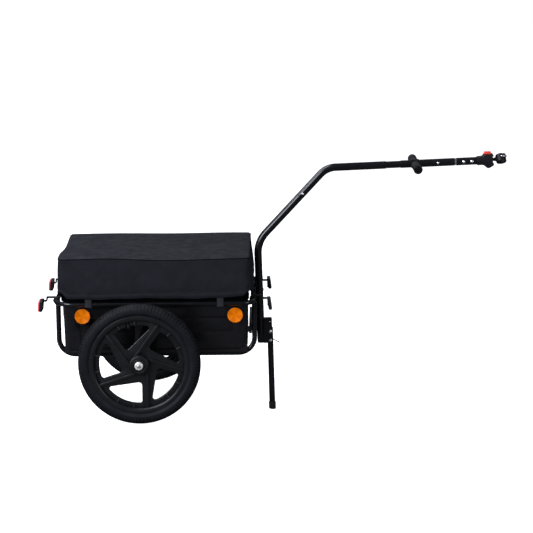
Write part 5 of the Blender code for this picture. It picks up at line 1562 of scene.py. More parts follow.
@dataclass
class Stand:
    """Channel bracket on the bar's foot, the folding leg with its rubber foot, the pivot bolt and the lock pin."""

    pivot: tuple[float, float] = (0.4262, 0.2425)
    lean: float = 1.2
    tube: float = 0.02
    foot_drop: float = 0.2725
    pin_drop: float = 0.03
    ear_inner: float = 0.0106
    ear: float = 0.0024

    @property
    def place(self) -> Matrix:
        """The frame of the stand's pivot."""
        return Matrix.Translation((self.pivot[0], 0, self.pivot[1])) @ rotation(-self.lean, "Y")

    def build(self) -> None:
        """Make every piece of the stand."""
        self.bracket()
        self.leg()
        self.bolt()
        self.lock_pin()

    def bracket(self) -> None:
        """A channel that opens forwards: a web against the tow bar and two ears beside the leg."""
        rear, front, bottom, top = -0.0236, 0.0075, -0.04, 0.044
        outline = rounded([((rear, bottom), 0.002), ((front, bottom), 0.004), ((front, top), 0.004),
                           ((rear, top), 0.002)])
        holes = [circle(0.0033, 24, height) for height in (0.0, -self.pin_drop, self.pin_drop)]
        middle, edge = self.ear_inner + self.ear / 2, self.ear_inner + self.ear - 0.0004
        ears = [placed(plate(outline, self.ear, holes), (0, sign * middle, 0)) for sign in (-1, 1)]
        web = block((-0.0178, -edge, bottom + 0.002), (-0.0158, edge, top - 0.002), 0.0005)
        show("stand_channel", joined(*ears, web), place=self.place, soft=0.0004, cad="stand_bracket")

    def leg(self) -> None:
        """The leg, its plug and its foot, cut to the ground."""
        top, bottom, ground = 0.012, -self.foot_drop + 0.004, -self.foot_drop
        leg = sweep_tube([Z * bottom, Z * top], self.tube / 2, X, sides=36, round_ends=0.0015)
        show("prop_leg", leg, body="stand", place=self.place, cad="stand_leg")
        inner, outer = self.tube / 2 + 0.0002, self.tube / 2 + 0.0018
        slope = tan(atan2(abs(LEVEL[0][2]), LEVEL[2][2]) + radians(self.lean))
        rings = [[Z * ground] * 36]
        for radius, height, lift in (
                (outer - 0.001, None, 0.0), (outer - 0.0002, None, 0.0007), (outer, bottom, 0.0),
                (outer, bottom + 0.019, 0.0), (outer - 0.0006, bottom + 0.02, 0.0), (inner, bottom + 0.02, 0.0),
                (inner, bottom - 0.0003, 0.0), (0.0, bottom - 0.0003, 0.0)):
            spots = [(radius * sin(tau * k / 36), radius * cos(tau * k / 36)) for k in range(36)]
            rings.append([(x, y, ground - x * slope + lift if height is None else height) for x, y in spots])
        show("rubber_foot", loft(rings, caps=False), Finishes.FOOT, "stand", self.place, cad="stand_foot")

    def bolt(self) -> None:
        """The pivot bolt with its domed head and lock nut."""
        face = self.ear_inner + self.ear + CLEARANCE
        profile = [(0.0, -face - 0.0045), (0.0024, -face - 0.0044), (0.0046, -face - 0.0037), (0.0062, -face - 0.0024),
                   (0.007, -face - 0.001), (0.007, -face), (0.003, -face), (0.003, face), (0.003, face + 0.0056),
                   (0.0, face + 0.0058)]
        nut = placed(hexagon(0.01, 0.0048), (0, face, 0), rotation(-90, "X"))
        show("pivot_bolt", joined(lathe(profile, steps=32), nut), Finishes.CHROME, place=self.place,
             cad="stand_pivot_bolt")

    def lock_pin(self) -> None:
        """The spring pin that locks the leg, with its wire tail."""
        face, start = self.ear_inner + self.ear + CLEARANCE, -self.ear_inner - 0.0002
        profile = [(0.0, start), (0.0028, start), (0.0028, -face), (0.0065, -face), (0.0065, -face - 0.0018),
                   (0.006, -face - 0.0036), (0.0048, -face - 0.0054), (0.003, -face - 0.006), (0.0, -face - 0.006)]
        wire = fillet([(0, -face - 0.004, 0.001), (0.0088, -face - 0.004, 0.005), (0.032, -face - 0.004, -0.0085)],
                      0.003, 8)
        place = self.place @ Matrix.Translation((0, 0, -self.pin_drop))
        show("lock_pin", lathe(profile, steps=32), Finishes.CHROME, "stand_lock", place, cad="stand_lock_pin")
        tail = sweep_tube(wire, 0.0017, Y, sides=12, round_ends=0.0006)
        show("lock_pin_tail", tail, Finishes.WIRE, "stand_lock", place)


# Tub

def lying_ring(rear: float, front: float, half: float, radius: float, height: float,
               panel: Point = (-0.1985, 0.3007, 0.0)) -> list[Vector]:
    """Points of a rounded rectangle at one height, with a set-back panel along its two long sides.

    Args:
        rear: X of its rear side.
        front: X of its front side.
        half: half its width.
        radius: its corners' radius.
        height: its height.
        panel: X of the panel's rear and front end, and how far it is set back.

    Returns:
        The points, anticlockwise from above.
    """
    low, high, depth = panel
    stations = [(high + 0.0016, 0.0), (high, depth), (high - 0.004, depth)]
    stations += [(high + (low - high) * k / 8, depth) for k in range(1, 8)]
    stations += [(low + 0.004, depth), (low, depth), (low - 0.0016, 0.0)]
    points = []
    for x, y, start in ((front, half, 0), (rear, half, 90), (rear, -half, 180), (front, -half, 270)):
        centre_x, centre_y = x - copysign(radius, x), y - copysign(radius, y)
        for angle in (radians(start + 90 * k / 8) for k in range(9)):
            points.append(Vector((centre_x + radius * cos(angle), centre_y + radius * sin(angle), height)))
        if start == 0:
            points.extend(Vector((at, half - inset, height)) for at, inset in stations)
        if start == 180:
            points.extend(Vector((at, -half + inset, height)) for at, inset in reversed(stations))
    return points


@dataclass
class Tub:
    """The moulded tub: set-back side panels, a step under the rim, a rolled rim, and its side reflectors."""

    rear: float = -0.254
    front: float = 0.353
    half: float = 0.204
    floor_half: float = 0.17
    bottom: float = 0.216
    rim_under: float = 0.3933
    rim_top: float = 0.409
    rim_rear: float = -0.256
    rim_front: float = 0.356
    rim_half: float = 0.222
    wall: float = 0.003
    step: float = 0.338
    panel: tuple[float, float] = (-0.1985, 0.3007)
    reflector_x: tuple[float, float] = (-0.188, 0.312)
    reflector_height: float = 0.342
    reflector_radius: float = 0.027
    reflector_face: float = 0.2045

    def width(self, height: float) -> float:
        """Half the tub's outer width at a height, which shrinks towards the floor."""
        share = (height - self.bottom) / (self.rim_under - self.bottom)
        return self.floor_half + (self.half - self.floor_half) * share

    def ring(self, height: float, side_inset: float, end_inset: float, radius: float, depth: float = 0.0) -> Ring:
        """One level of the wall, with its insets, its corners' radius and the depth of its side panels."""
        return lying_ring(self.rear + end_inset, self.front - end_inset, self.width(height) - side_inset, radius,
                          height, (*self.panel, depth))

    def build(self) -> None:
        """Make the tub and its reflectors."""
        low, step, under, top, inside = self.bottom, self.step, self.rim_under, self.rim_top, self.wall
        rings = [self.ring(*level) for level in (
            (low, 0.009, 0.0205, 0.018), (low + 0.0016, 0.006, 0.015, 0.019), (low + 0.009, 0.0035, 0.006, 0.021),
            (low + 0.0165, 0.0033, 0.0012, 0.022), (low + 0.0185, 0.0035, 0.001, 0.022, 0.0022),
            (0.279, 0.0035, 0.001, 0.0225, 0.0022), (0.28, 0.0035, 0.001, 0.0225, 0.0032),
            (0.2816, 0.0035, 0.001, 0.0225, 0.0032), (0.2826, 0.0035, 0.001, 0.0225, 0.0022),
            (step - 0.008, 0.0035, 0.001, 0.023, 0.0022), (step - 0.0062, 0.0034, 0.001, 0.023),
            (step - 0.0052, 0.0028, 0.0008, 0.0232), (step - 0.001, 0.0006, 0.0002, 0.0238), (step, 0.0, 0.0, 0.024),
            (under - 0.002, 0.0, 0.0, 0.024))]
        for inset, height, radius in (
                (0.0014, under, 0.0356), (0.0004, under + 0.0006, 0.0366), (0.0, under + 0.002, 0.037),
                (0.0, top - 0.004, 0.037), (0.0004, top - 0.0022, 0.0366), (0.0014, top - 0.0008, 0.0356),
                (0.0028, top, 0.0345)):
            rings.append(lying_ring(self.rim_rear + inset, self.rim_front - inset, self.rim_half - inset, radius,
                                    height, (*self.panel, 0.0)))
        rings += [self.ring(*level) for level in (
            (top, 0.0075, inside + 0.001, 0.022), (top - 0.0015, 0.0055, inside, 0.0225),
            (step, inside, inside, 0.021), (step - 0.006, inside + 0.0035, inside + 0.001, 0.02),
            (low + 0.02, inside + 0.0035, inside + 0.001, 0.019),
            (low + 0.011, inside + 0.0035, inside + 0.0065, 0.018), (low + inside, 0.0125, 0.024, 0.015))]
        show("tub_shell", loft(rings), Finishes.TUB, "tub_body", sharp=42.0, cad="tub")
        ribs = {"Count": 7, "Start": (0.05, -0.105, low + inside + 0.0006), "Step": (0, 0.035, 0),
                "Size": (0.46, 0.007, 0.0022)}
        grow("tub_floor_ribs", Growth.row_of_blocks(), [ribs], Finishes.TUB, "tub_body")
        self.skirts()
        for end, x in zip(End, self.reflector_x):
            for side in Side:
                self.side_reflector(f"{end.label}_{side.label}", side.value, x)

    def skirts(self) -> None:
        """The moulded lip under each long side, which comes down outside the rail and squares the tub's ends."""
        rear, front, top = self.rear + 0.0016, self.front - 0.0016, self.bottom + 0.0018
        outline = [((rear, 0.2085), 0.006), ((front, 0.2085), 0.006), ((front, 0.2345), 0.001),
                   ((front - 0.009, 0.2345), 0.001), ((front - 0.024, top), 0.004), ((rear + 0.024, top), 0.004),
                   ((rear + 0.009, 0.2345), 0.001), ((rear, 0.2345), 0.001)]
        sides = [placed(plate(rounded(outline, 6), 0.0034), (0, side.value * 0.1623, 0)) for side in Side]
        show("tub_skirts", joined(*sides), Finishes.TUB, "tub_body", soft=0.0005)

    def side_reflector(self, label: str, hand: int, x: float) -> None:
        """A round amber reflector in its moulded seat.

        Args:
            label: its end and side.
            hand: the sign of Y.
            x: its place along the tub.
        """
        radius, face = self.reflector_radius, self.reflector_face
        back, wall = face - 0.004, self.width(self.reflector_height)
        place = Matrix.Translation((x, 0, self.reflector_height))
        seat = [(0.0, wall - 0.009), (radius - 0.0002, wall - 0.009), (radius, wall - 0.0086), (radius, face - 0.0016),
                (radius - 0.0008, face - 0.0008), (radius - 0.0015, face - 0.0008), (radius - 0.0017, face - 0.0012),
                (radius - 0.0017, back - 0.0003), (0.0, back - 0.0003)]
        show(f"reflector_seat_{label}", lathe(seat, steps=48, hand=hand), Finishes.TUB, "tub_body", place)
        radius -= 0.0019
        lens = [(0.0, back), (radius - 0.0004, back), (radius, back + 0.0006), (radius, face - 0.0016),
                (radius - 0.0006, face - 0.0006), (radius - 0.0018, face - 0.0002), (radius - 0.003, face - 0.0004),
                (radius - 0.0036, face - 0.0008), (0.0, face - 0.0002)]
        show(f"amber_lens_{label}", flat_uv(lathe(lens, hand=hand), X), Finishes.AMBER, "tub_body", place,
             cad=f"amber_reflector_{label}")


# Cover

class WallLevel(NamedTuple):
    """One known level of the cover's wall: its height, insets, corner radius and outward swell."""

    height: float
    rear_inset: float
    front_inset: float
    corner: float
    swell: float


@dataclass
class Cover:
    """The fabric hood over the tub: four walls and a slack top, sewn with piped seams and hung with webbing tabs."""

    rear: float = -0.267
    front: float = 0.372
    half: float = 0.23
    hem: float = 0.406
    top: float = 0.5405
    notch: float = 0.017
    thickness: float = 0.0012
    long_steps: int = 64
    short_steps: int = 46
    corner_steps: int = 8
    wall_steps: int = 26
    top_steps: int = 40
    strap_x: tuple[float, float] = (-0.166, 0.264)
    strap_width: float = 0.021

    def level_at(self, height: float) -> WallLevel:
        """The wall's shape at a height, between its known levels.

        Args:
            height: the height.

        Returns:
            The level there.
        """
        hem, top = self.hem, self.top
        known = (WallLevel(hem, 0.0005, 0.0005, 0.034, 0.0), WallLevel(hem + 0.035, 0.0, 0.0, 0.032, 0.0015),
                 WallLevel(hem + 0.085, 0.0015, 0.0055, 0.024, 0.0015),
                 WallLevel(top - 0.006, 0.0057, 0.0102, 0.011, 0.0008), WallLevel(top, 0.0065, 0.011, 0.01, 0.0))
        low, high = next(pair for pair in zip(known, known[1:]) if height <= pair[1].height)
        share = (height - low.height) / (high.height - low.height)
        return WallLevel(height, *(a + (b - a) * share for a, b in zip(low[1:], high[1:])))

    def outline(self, level: WallLevel) -> list[tuple[Vector, Vector, float]]:
        """The hood's outline at one level.

        Args:
            level: the level.

        Returns:
            For each point anticlockwise from above: its place, its outward direction and how near it is to a
            corner's middle, from 0 to 1.
        """
        rear, front = self.rear + level.rear_inset, self.front - level.front_inset
        corner, half, bends = level.corner, self.half, self.corner_steps
        corners = ((front, half, 0), (rear, half, 0), (rear, -half, 0), (front, -half, 0))
        found = []
        for number, ((x, y, _), along) in enumerate(zip(corners, (-X, -Y, X, Y))):
            centre = Vector((x - copysign(corner, x), y - copysign(corner, y), 0))
            for k in range(bends + 1):
                angle = radians(90 * number + 90 * k / bends)
                out = Vector((cos(angle), sin(angle), 0))
                found.append((centre + out * corner, out, sin(pi * k / bends)))
            first, out, _ = found[-1]
            length = abs(Vector(corners[(number + 1) % 4]).dot(along) - first.dot(along)) - corner
            steps = self.short_steps if number % 2 else self.long_steps
            found.extend((first + along * (length * k / steps), out, 0.0) for k in range(1, steps))
        shaped = []
        middle, reach = (rear + front) / 2, (front - rear) / 2
        for point, out, near in found:
            across, lengthwise = point.y / half, (point.x - middle) / reach
            bulge = (1 - lengthwise ** 2) * abs(out.y) + (1 - across ** 2) * abs(out.x)
            shaped.append((point + out * (level.swell * max(0.0, bulge)), out, near))
        return shaped

    def slack(self, point: Vector, out: Vector, share: float) -> float:
        """How far the wall's cloth stands out from its plain shape.

        Args:
            point: a point of the wall.
            out: the wall's outward direction there.
            share: 0 at the hem and 1 at the top edge.

        Returns:
            The distance, outwards.
        """
        run = point.x if abs(out.y) > 0.7 else point.y + 1.7
        side = 2.0 if out.y + out.x > 0 else 0.0
        waves = 0.0012 * sin(run * 27.0 + side + 0.8 * share) * (0.35 + 0.65 * (1.0 - share))
        drag = 0.0024 * noise.noise(Vector((run * 13.0 + side * 3.1, point.z * 16.0 + run * 5.0, side)))
        fine = 0.001 * noise.noise(Vector((run * 42.0, point.z * 30.0 - run * 20.0, side + 4.0)))
        crease = 0.0011 * exp(-((point.z - 0.4235 - 0.004 * sin(run * 9.0 + side)) / 0.0045) ** 2)
        calm = sin(pi * min(1.0, max(0.0, share * 1.15 + 0.12))) ** 0.5 if share < 0.76 else 1.0 - share
        value = (waves + drag + fine) * max(0.15, calm) - crease * (1 - abs(out.x)) * 0.8
        return max(-0.0024, min(0.0009 if out.x > 0.7 else 0.0024, value))

    def top_height(self, x: float, y: float) -> float:
        """Height of the slack top.

        Args:
            x: a place along the trailer.
            y: a place across it.

        Returns:
            The height there.
        """
        middle, reach = (self.rear + self.front) / 2, (self.front - self.rear) / 2
        u, v = (x - middle) / reach, y / self.half
        crown = 0.0042 * (1 - u ** 4) * (1 - v ** 4) + 0.003 * (1 - u ** 4) * max(0.0, v) ** 2
        sag = 0.0034 * (1 - u * u) * v ** 6 * (1.0 + 0.35 * sin(4.2 * u + 0.6))
        sag += 0.003 * (1 - v * v) * u ** 8 - 0.0042 * exp(-((u + 0.5) / 0.32) ** 2) * max(0.0, -v) ** 6
        if u < 0:
            hollow, ridge = 0.01 * exp(-((v - 0.25) / 0.45) ** 2), 0.0062 * exp(-((v + 0.68) / 0.3) ** 2)
            sag += u ** 8 * (1 - v ** 8) * (hollow - ridge)
        ripple = 0.0014 * noise.noise(Vector((x * 9.0, y * 13.0, 2.0)))
        ripple += 0.0007 * noise.noise(Vector((x * 30.0 + y * 12.0, y * 24.0, 5.0)))
        fold = 0.0009 * exp(-((y - 0.045 - 0.12 * x) / 0.012) ** 2)
        fold -= 0.0007 * exp(-((y + 0.085 + 0.05 * x) / 0.016) ** 2)
        return self.top + crown - sag + (ripple + fold) * (1 - v ** 6) * (1 - u ** 6)

    def wall_ring(self, height: float) -> list[Vector]:
        """The cloth at one level of the wall.

        Args:
            height: the level.

        Returns:
            The points.
        """
        ring = []
        share = (height - self.hem) / (self.top - self.hem)
        for point, out, near in self.outline(self.level_at(height)):
            spot = Vector((point.x, point.y, height))
            spot += out * self.slack(spot, out, share)
            run = point.x if abs(out.y) > 0.7 else point.y
            wavy = 0.0012 * sin(run * 22.0 + (1.0 if out.y < 0 else 3.0)) + 0.0008 * sin(run * 61.0)
            drawn_up = 0.006 * max(0.0, (point.x - 0.2) / 0.16) ** 2 + 0.004 * max(0.0, (-0.21 - point.x) / 0.05) ** 2
            spot.z += (self.notch * near ** 1.5 + drawn_up + wavy * (1 - near)) * max(0.0, 1 - share * 2.6)
            spot.z += (self.top_height(point.x, point.y) - self.top) * max(0.0, share - 0.55) / 0.45
            ring.append(spot)
        return ring

    @cached_property
    def wall(self) -> list[list[Vector]]:
        """The wall's rings, from the hem up."""
        rise = self.top - 0.0058 - self.hem
        return [self.wall_ring(self.hem + rise * k / self.wall_steps) for k in range(self.wall_steps + 1)]

    @cached_property
    def lid(self) -> list[list[Vector]]:
        """The top's rings, from the edge to the middle.

        Returns:
            The rings.
        """
        edge = self.outline(self.level_at(self.top - 0.006))
        middle, reach = (self.rear + self.front) / 2, (self.front - self.rear) / 2
        rings = []
        for inset, drop in ((0.0004, 0.004), (0.0012, 0.0024), (0.0026, 0.0011), (0.0046, 0.0003)):
            rings.append([Vector((point.x - out.x * inset, point.y - out.y * inset,
                                  self.top_height(point.x, point.y) - drop)) for point, out, _ in edge])
        for k in range(self.top_steps):
            share = 0.034 + (0.985 - 0.034) * k / (self.top_steps - 1)
            spots = [(middle + (point.x - middle) * (1 - share * self.half / reach), point.y * (1 - share))
                     for point, _, _ in edge]
            rings.append([Vector((x, y, self.top_height(x, y))) for x, y in spots])
        return rings

    def build(self) -> None:
        cloth = self.cloth()
        trims = [self.piping_shadow(), self.corner_seams(), self.hem_band(), self.stitching(), self.lining()]
        trims += [self.tab(end, side, x) for end, x in zip(End, self.strap_x) for side in Side]
        trims.append(self.tab_stitches())

    def cloth(self) -> Thing:
        """The cloth itself, with its weave mapped along each panel, and its thickness.

        Returns:
            The piece.
        """
        hem, count = self.wall[0], len(self.wall[0])
        shape = loft([*self.wall, *self.lid], caps=False)
        shape.verts.ensure_lookup_table()
        shape.verts.index_update()
        shape.faces.new(shape.verts[-count:])
        run = [0.0]
        for here, following in zip(hem, hem[1:]):
            run.append(run[-1] + (following.xy - here.xy).length)
        length = run[-1] + (hem[0].xy - hem[-1].xy).length
        layer = shape.loops.layers.uv.verify()
        for face in shape.faces:
            numbers = [divmod(loop.vert.index, count) for loop in face.loops]
            on_wall = max(number for number, _ in numbers) < len(self.wall)
            wraps = max(i for _, i in numbers) - min(i for _, i in numbers) > count // 2
            for loop, (_, i) in zip(face.loops, numbers):
                spot = loop.vert.co
                along = length if wraps and i == 0 else run[i]
                loop[layer].uv = (along, spot.z) if on_wall else (spot.x, spot.y)
        bmesh.ops.recalc_face_normals(shape, faces=shape.faces)
        thing = linked("cover_cloth", meshed(shape, "cover_cloth"))
        solid = thing.modifiers.new("thickness", "SOLIDIFY")
        solid.thickness, solid.offset = self.thickness, -1.0
        settle(thing)
        return finished(thing, Finishes.CLOTH, "cover_body", sharp=62.0, cad="cover")

    def piping_shadow(self) -> Thing:
        """The corded seam where the walls meet the top, coloured darker than the cloth as painted shadow along the
        seam.
        """
        return show("cover_piping_shadow", sweep_loose(self.lid[0], 0.0017, closed=True), Finishes.PIPING_SHADOW, "cover_body")

    def corner_seams(self) -> Thing:
        """The raised seam down the middle of each corner.

        Returns:
            The piece.
        """
        seams, first = [], self.corner_steps // 2
        for steps in (self.long_steps, self.short_steps, self.long_steps, self.short_steps):
            seams.append(sweep_loose([ring[first] for ring in self.wall], 0.001))
            first += self.corner_steps + steps
        return show("cover_corner_seams", joined(*seams), Finishes.CLOTH, "cover_body")

    def hem_band(self) -> Thing:
        """The folded hem: a second layer round the lower edge, a little proud of the wall.

        Returns:
            The piece.
        """
        lower, upper = self.wall[0], self.wall[3]
        rings = []
        for line, out, rise in ((lower, 0.0006, -0.0004), (lower, 0.0011, 0.0006), (upper, 0.0008, -0.0006),
                                (upper, 0.0001, 0.0), (lower, -0.0011, 0.0006), (lower, -0.0009, -0.0004)):
            rings.append([point + tangent.cross(Z).normalized() * out + Z * rise
                          for point, tangent in zip(line, tangents(line, closed=True))])
        return show("cover_hem_band", loft(rings, caps=False, closed=True), Finishes.CLOTH, "cover_body", sharp=60.0)

    def lining(self) -> Thing:
        """The matt inner band that the hem is drawn in with, hung between the hem and the tub's rim; its near-black
        colour is painted shade under the hem.

        Returns:
            The piece.
        """
        rings = [lying_ring(-0.2573 - out, 0.3573 + out, 0.2229 + out, 0.0375 + out, height)
                 for out, height in ((0.0, 0.3945), (0.0, 0.414), (0.0006, 0.414), (0.0006, 0.3945))]
        return show("cover_lining", loft(rings, caps=False, closed=True), Finishes.LINING, "cover_body", sharp=50.0)

    def stitching(self) -> Thing:
        """Rows of stitches above the hem and below the piping.

        Returns:
            The piece.
        """
        lines = []
        for ring, out in ((self.wall[2], 0.001), (self.wall[-2], 0.0002)):
            line = [point + tangent.cross(Z).normalized() * out
                    for point, tangent in zip(ring, tangents(ring, closed=True))]
            lines.append([*line, line[0]])
        values = {"Spacing": 0.0042, "Length": 3.4, "Thickness": 0.00042}
        return grow("cover_stitches", Growth.stitches(), [values], Finishes.THREAD, "cover_body", lines=lines)

    def tab(self, end: End, side: Side, x: float) -> Thing:
        """One webbing tab that hangs from inside the hem, with its end turned up and sewn.

        Args:
            end: rear or front.
            side: which side of the trailer.
            x: its place along the trailer.

        Returns:
            The piece.
        """
        path = [Vector(point) for point in (
            (0.2264, 0.427), (0.2266, 0.418), (0.2262, 0.408), (0.2253, 0.401), (0.2248, 0.395), (0.2247, 0.386),
            (0.2247, 0.379), (0.225, 0.3768))]
        rings = []
        for i, (point, tangent) in enumerate(zip(path, tangents(path))):
            normal = Vector((-tangent.y, tangent.x))
            thick = 0.0008 if i < 5 else 0.0012
            ring = []
            for across, depth in ((-1.0, -0.7), (-0.94, -1.0), (0.0, -1.0), (0.94, -1.0), (1.0, -0.7), (1.0, 0.7),
                                  (0.94, 1.0), (0.0, 1.0), (-0.94, 1.0), (-1.0, 0.7)):
                spot = point + normal * (depth * thick)
                ring.append((x + across * self.strap_width / 2, side.value * spot.x, spot.y))
            rings.append(ring)
        return show(f"cover_tab_{end.label}_{side.label}", flat_uv(loft(rings), X), Finishes.WEBBING, "cover_body",
                    sharp=50.0)

    def tab_stitches(self) -> Thing:
        """The box of stitches at the turned-up end of every tab.

        Returns:
            The piece.
        """
        wide, low, high, out = self.strap_width / 2 - 0.0025, 0.379, 0.3885, 0.22605
        lines = []
        for x in self.strap_x:
            corners = [(x - wide, low), (x + wide, low), (x + wide, high), (x - wide, high), (x - wide, low)]
            lines += [[Vector((at, side.value * out, z)) for at, z in corners] for side in Side]
        values = {"Spacing": 0.003, "Length": 2.6, "Thickness": 0.00034}
        return grow("cover_tab_stitches", Growth.stitches(), [values], Finishes.THREAD, "cover_body", lines=lines)


# End reflectors

@dataclass
class EndReflector:
    """A reflector on an arm from the hoop: clip over the tube, stepped arm, housing and lens."""

    end: End
    side: Side
    hoop: TubeFrame
    clip_y: float = 0.147
    lens_y: float = 0.168
    height: float = 0.3743
    half_width: float = 0.008
    strip: float = 0.0042
    lens_front: float = 0.0105

    def build(self) -> None:
        """Make the bracket and the lens."""
        facing, hoop_height, half = self.end.value, self.hoop.hoop_height, self.half_width
        if self.end is End.REAR:
            tube_x, step_drop, tilt, face, behind, rim = self.hoop.hoop_rear, 0.012, 5.0, -0.3345, -0.0046, 0.0058
        else:
            tube_x, step_drop, tilt, face, behind, rim = self.hoop.hoop_front, 0.0095, 8.0, 0.4312, -0.0016, 0.0094
        label = f"{self.end.label}_{self.side.label}"
        clip_y, radius = self.side.value * self.clip_y, self.hoop.hoop_tube / 2 + 0.0002
        collar = [(radius, -half), (radius + 0.0024, -half), (radius + 0.0032, -half + 0.0008),
                  (radius + 0.0032, half - 0.0008), (radius + 0.0024, half), (radius, half)]
        clip = lathe(collar, Y, 30, radians(-105), radians(210), closed=True)
        placed(clip, (tube_x, clip_y, hoop_height))
        back, arm_top, step = face - facing * 0.0122, hoop_height + 0.0135, tube_x + facing * 0.0345
        low_top, low_edge = arm_top - step_drop, self.height - 0.012
        arm = fillet([(tube_x + facing * 0.0028, 0, arm_top), (step - facing * 0.0012, 0, arm_top),
                      (step - facing * 0.0012, 0, low_top), (back + facing * 0.0025, 0, low_top),
                      (back + facing * 0.0025, 0, low_edge)], 0.0016, 4)
        low_x, high_x = sorted((tube_x + facing * 0.003, tube_x + facing * 0.0085))
        foot = block((low_x, clip_y - half + 0.001, hoop_height + radius),
                     (high_x, clip_y + half - 0.001, arm_top - 0.0004), 0.0005)
        seat = Vector((back + facing * 0.0017, self.side.value * self.lens_y, self.height))
        shell = self.drawn_out(0.0268, 0.018, ((behind, 0.0016), (behind + 0.001, 0.0), (rim - 0.0006, 0.0),
                                               (rim, 0.0006)), tilt)
        shape = joined(clip, self.bent_strip(arm, clip_y), foot, placed(shell, seat))
        show(f"reflector_holder_{label}", shape, Finishes.HOUSING, sharp=34.0, cad=f"reflector_bracket_{label}")
        ahead = self.lens_front
        lens = self.drawn_out(0.0256, 0.017, ((rim + CLEARANCE, 0.0), (ahead - 0.0006, 0.0), (ahead - 0.0002, 0.0004),
                                              (ahead, 0.0012)), tilt)
        show(f"reflector_glass_{label}", placed(flat_uv(lens, Y), seat),
             Finishes.RED if self.end is End.REAR else Finishes.CLEAR, sharp=34.0, cad=f"reflector_lens_{label}")

    def bent_strip(self, path: Ring, y: float) -> Shape:
        """A flat strip bent along a path in the XZ plane; its thickness lies under and behind the path.

        Args:
            path: the strip's upper edge, seen from the side.
            y: the middle of its width.

        Returns:
            The closed surface.
        """
        rings = []
        for point, tangent in zip(path, tangents(path)):
            low = point + Vector((tangent.z, 0, -tangent.x)) * self.end.value * self.strip
            rings.append([(spot.x, y + sign * self.half_width, spot.z)
                          for spot, sign in ((point, 1), (low, 1), (low, -1), (point, -1))])
        return loft(rings)

    def drawn_out(self, half_width: float, half_height: float, steps: Profile, tilt: float) -> Shape:
        """A rounded rectangle in the YZ plane drawn out along X; its lower edge leans away from the trailer.

        Args:
            half_width: half its width.
            half_height: half its height.
            steps: for each step its depth and how far its outline is drawn in.
            tilt: its lean in degrees.

        Returns:
            The closed surface.
        """
        rings = []
        for depth, inset in steps:
            wide, high, corner = half_width - inset, half_height - inset, 0.0035
            outline = rounded([((-wide, -high), corner), ((wide, -high), corner), ((wide, high), corner),
                               ((-wide, high), corner)])
            rings.append([(self.end.value * (depth - point.y * tan(radians(tilt))), point.x, point.y)
                          for point in outline])
        return loft(rings)


# Studio

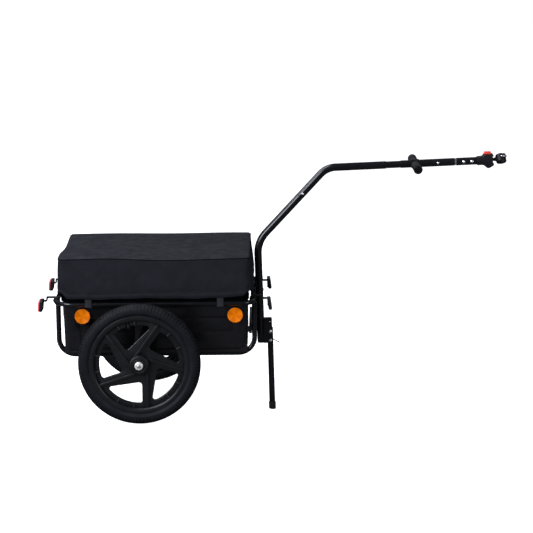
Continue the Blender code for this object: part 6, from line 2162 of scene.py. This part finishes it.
@dataclass
class Studio:
    """The pale floor, the soft lights and the camera."""

    focal: float = 131.7
    sensor: float = 36.0
    position: Point = (0.416, -6.433, 1.737)
    down: tuple[float, float] = (0.19423, 0.98096)
    roll: float = 0.0096
    floor_size: float = 40.0
    floor_white: float = 0.9
    floor_glow: float = 1.0
    floor_bounce: float = 0.12
    lamp_colour: Point = (0.94, 0.97, 1.08)

    def build(self) -> None:
        """Set the scene round the trailer."""
        bpy.context.scene.view_settings.view_transform = "Standard"
        self.floor()
        self.surroundings()
        self.lamp("overhead", (-1.7, 0.0, 2.9), (-0.2, 0.0, 0.2), 2.0, 92.0)
        self.lamp("front_left", (-3.3, -3.6, 2.2), (0.0, 0.0, 0.3), 2.4, 250.0)
        self.lamp("front_right", (3.4, -3.2, 1.7), (0.2, 0.0, 0.4), 2.0, 66.0)
        self.lamp("behind", (0.4, 4.0, 2.8), (0.2, 0.0, 0.4), 2.6, 3.0)
        self.camera()

    @staticmethod
    def seen_apart(tree: Tree, output: str, thrown: Node, seen: Node) -> None:
        """Finish a tree whose surface looks one way to the camera and lights the trailer another way.

        Args:
            tree: the tree.
            output: the kind of its output node.
            thrown: the shader that lights the trailer.
            seen: the shader that the camera sees.
        """
        canvas = Canvas(tree)
        ray = canvas.node("ShaderNodeLightPath").outputs["Is Camera Ray"]
        canvas.node(output, {"Surface": canvas.node("ShaderNodeMixShader", {0: ray, 1: thrown, 2: seen})})

    def floor(self) -> None:
        """A wide floor: near white to the eye, while it throws little light back up at the black trailer."""
        half = self.floor_size / 2
        mesh = bpy.data.meshes.new("studio_floor")
        mesh.from_pydata([(-half, -half, 0), (half, -half, 0), (half, half, 0), (-half, half, 0)], [], [(0, 1, 2, 3)])
        floor = linked("studio_floor", mesh)
        made = bpy.data.materials.new("studio_floor")
        made.use_nodes = True
        made.node_tree.nodes.clear()
        canvas = Canvas(made.node_tree)
        lit = canvas.node("ShaderNodeBsdfDiffuse", {"Color": rgba((self.floor_white,) * 3)})
        glow = canvas.node("ShaderNodeEmission", {"Strength": self.floor_glow})
        bounced = canvas.node("ShaderNodeBsdfDiffuse", {"Color": rgba((self.floor_bounce,) * 3)})
        seen = canvas.node("ShaderNodeAddShader", {0: lit, 1: glow})
        self.seen_apart(made.node_tree, "ShaderNodeOutputMaterial", bounced, seen)
        mesh.materials.append(made)

    def surroundings(self) -> None:
        """White to the eye, and a dim even grey for the light."""
        world = bpy.data.worlds.new("studio")
        world.use_nodes = True
        bpy.context.scene.world = world
        world.node_tree.nodes.clear()
        canvas = Canvas(world.node_tree)
        seen = canvas.node("ShaderNodeBackground", {"Color": (1.0, 1.0, 1.0, 1.0)})
        dim = canvas.node("ShaderNodeBackground", {"Color": (0.92, 0.95, 1.0, 1.0), "Strength": 0.13})
        self.seen_apart(world.node_tree, "ShaderNodeOutputWorld", dim, seen)

    def lamp(self, name: str, spot: Point, target: Point, size: float, power: float) -> None:
        """A square soft light.

        Args:
            name: its name.
            spot: where it hangs.
            target: what it looks at.
            size: its side in metres.
            power: its power in watts.
        """
        light = bpy.data.lights.new(name, "AREA")
        light.shape, light.size, light.energy, light.color = "SQUARE", size, power, self.lamp_colour
        lamp = linked(name, light)
        lamp.location = spot
        lamp.rotation_euler = (Vector(target) - Vector(spot)).to_track_quat("-Z", "Y").to_euler()

    def camera(self) -> None:
        """The camera, where the photograph was taken from."""
        sine, cosine = self.down
        above, ahead = Vector((0, sine, cosine)), Vector((0, cosine, -sine))
        right, up = (X - self.roll * above).normalized(), (above + self.roll * X).normalized()
        matrix = Matrix((right, up, -ahead)).transposed().to_4x4()
        matrix.translation = self.position
        lens = bpy.data.cameras.new("camera")
        lens.lens, lens.sensor_width, lens.sensor_fit, lens.clip_end = self.focal, self.sensor, "HORIZONTAL", 100.0
        camera = linked("camera", lens)
        camera.matrix_world = LEVEL @ matrix
        bpy.context.scene.camera = camera


def main() -> None:
    """Dress the trailer, piece by piece."""
    logging.basicConfig(level=logging.INFO, format="%(name)s: %(message)s")
    Studio().build()
    hoops, bar = TubeFrame(), TowBar()
    sub_assemblies = [hoops, bar, PushHandle(bar), Hitch(), Stand(), Tub(), Cover()]
    for side in Side:
        sub_assemblies += [Wheel(side), Axle(side), *(EndReflector(end, side, hoops) for end in End)]
    for sub_assembly in sub_assemblies:
        sub_assembly.build()
        LOG.info("%s is dressed", type(sub_assembly).__name__)


if __name__ == "__main__":
    main()
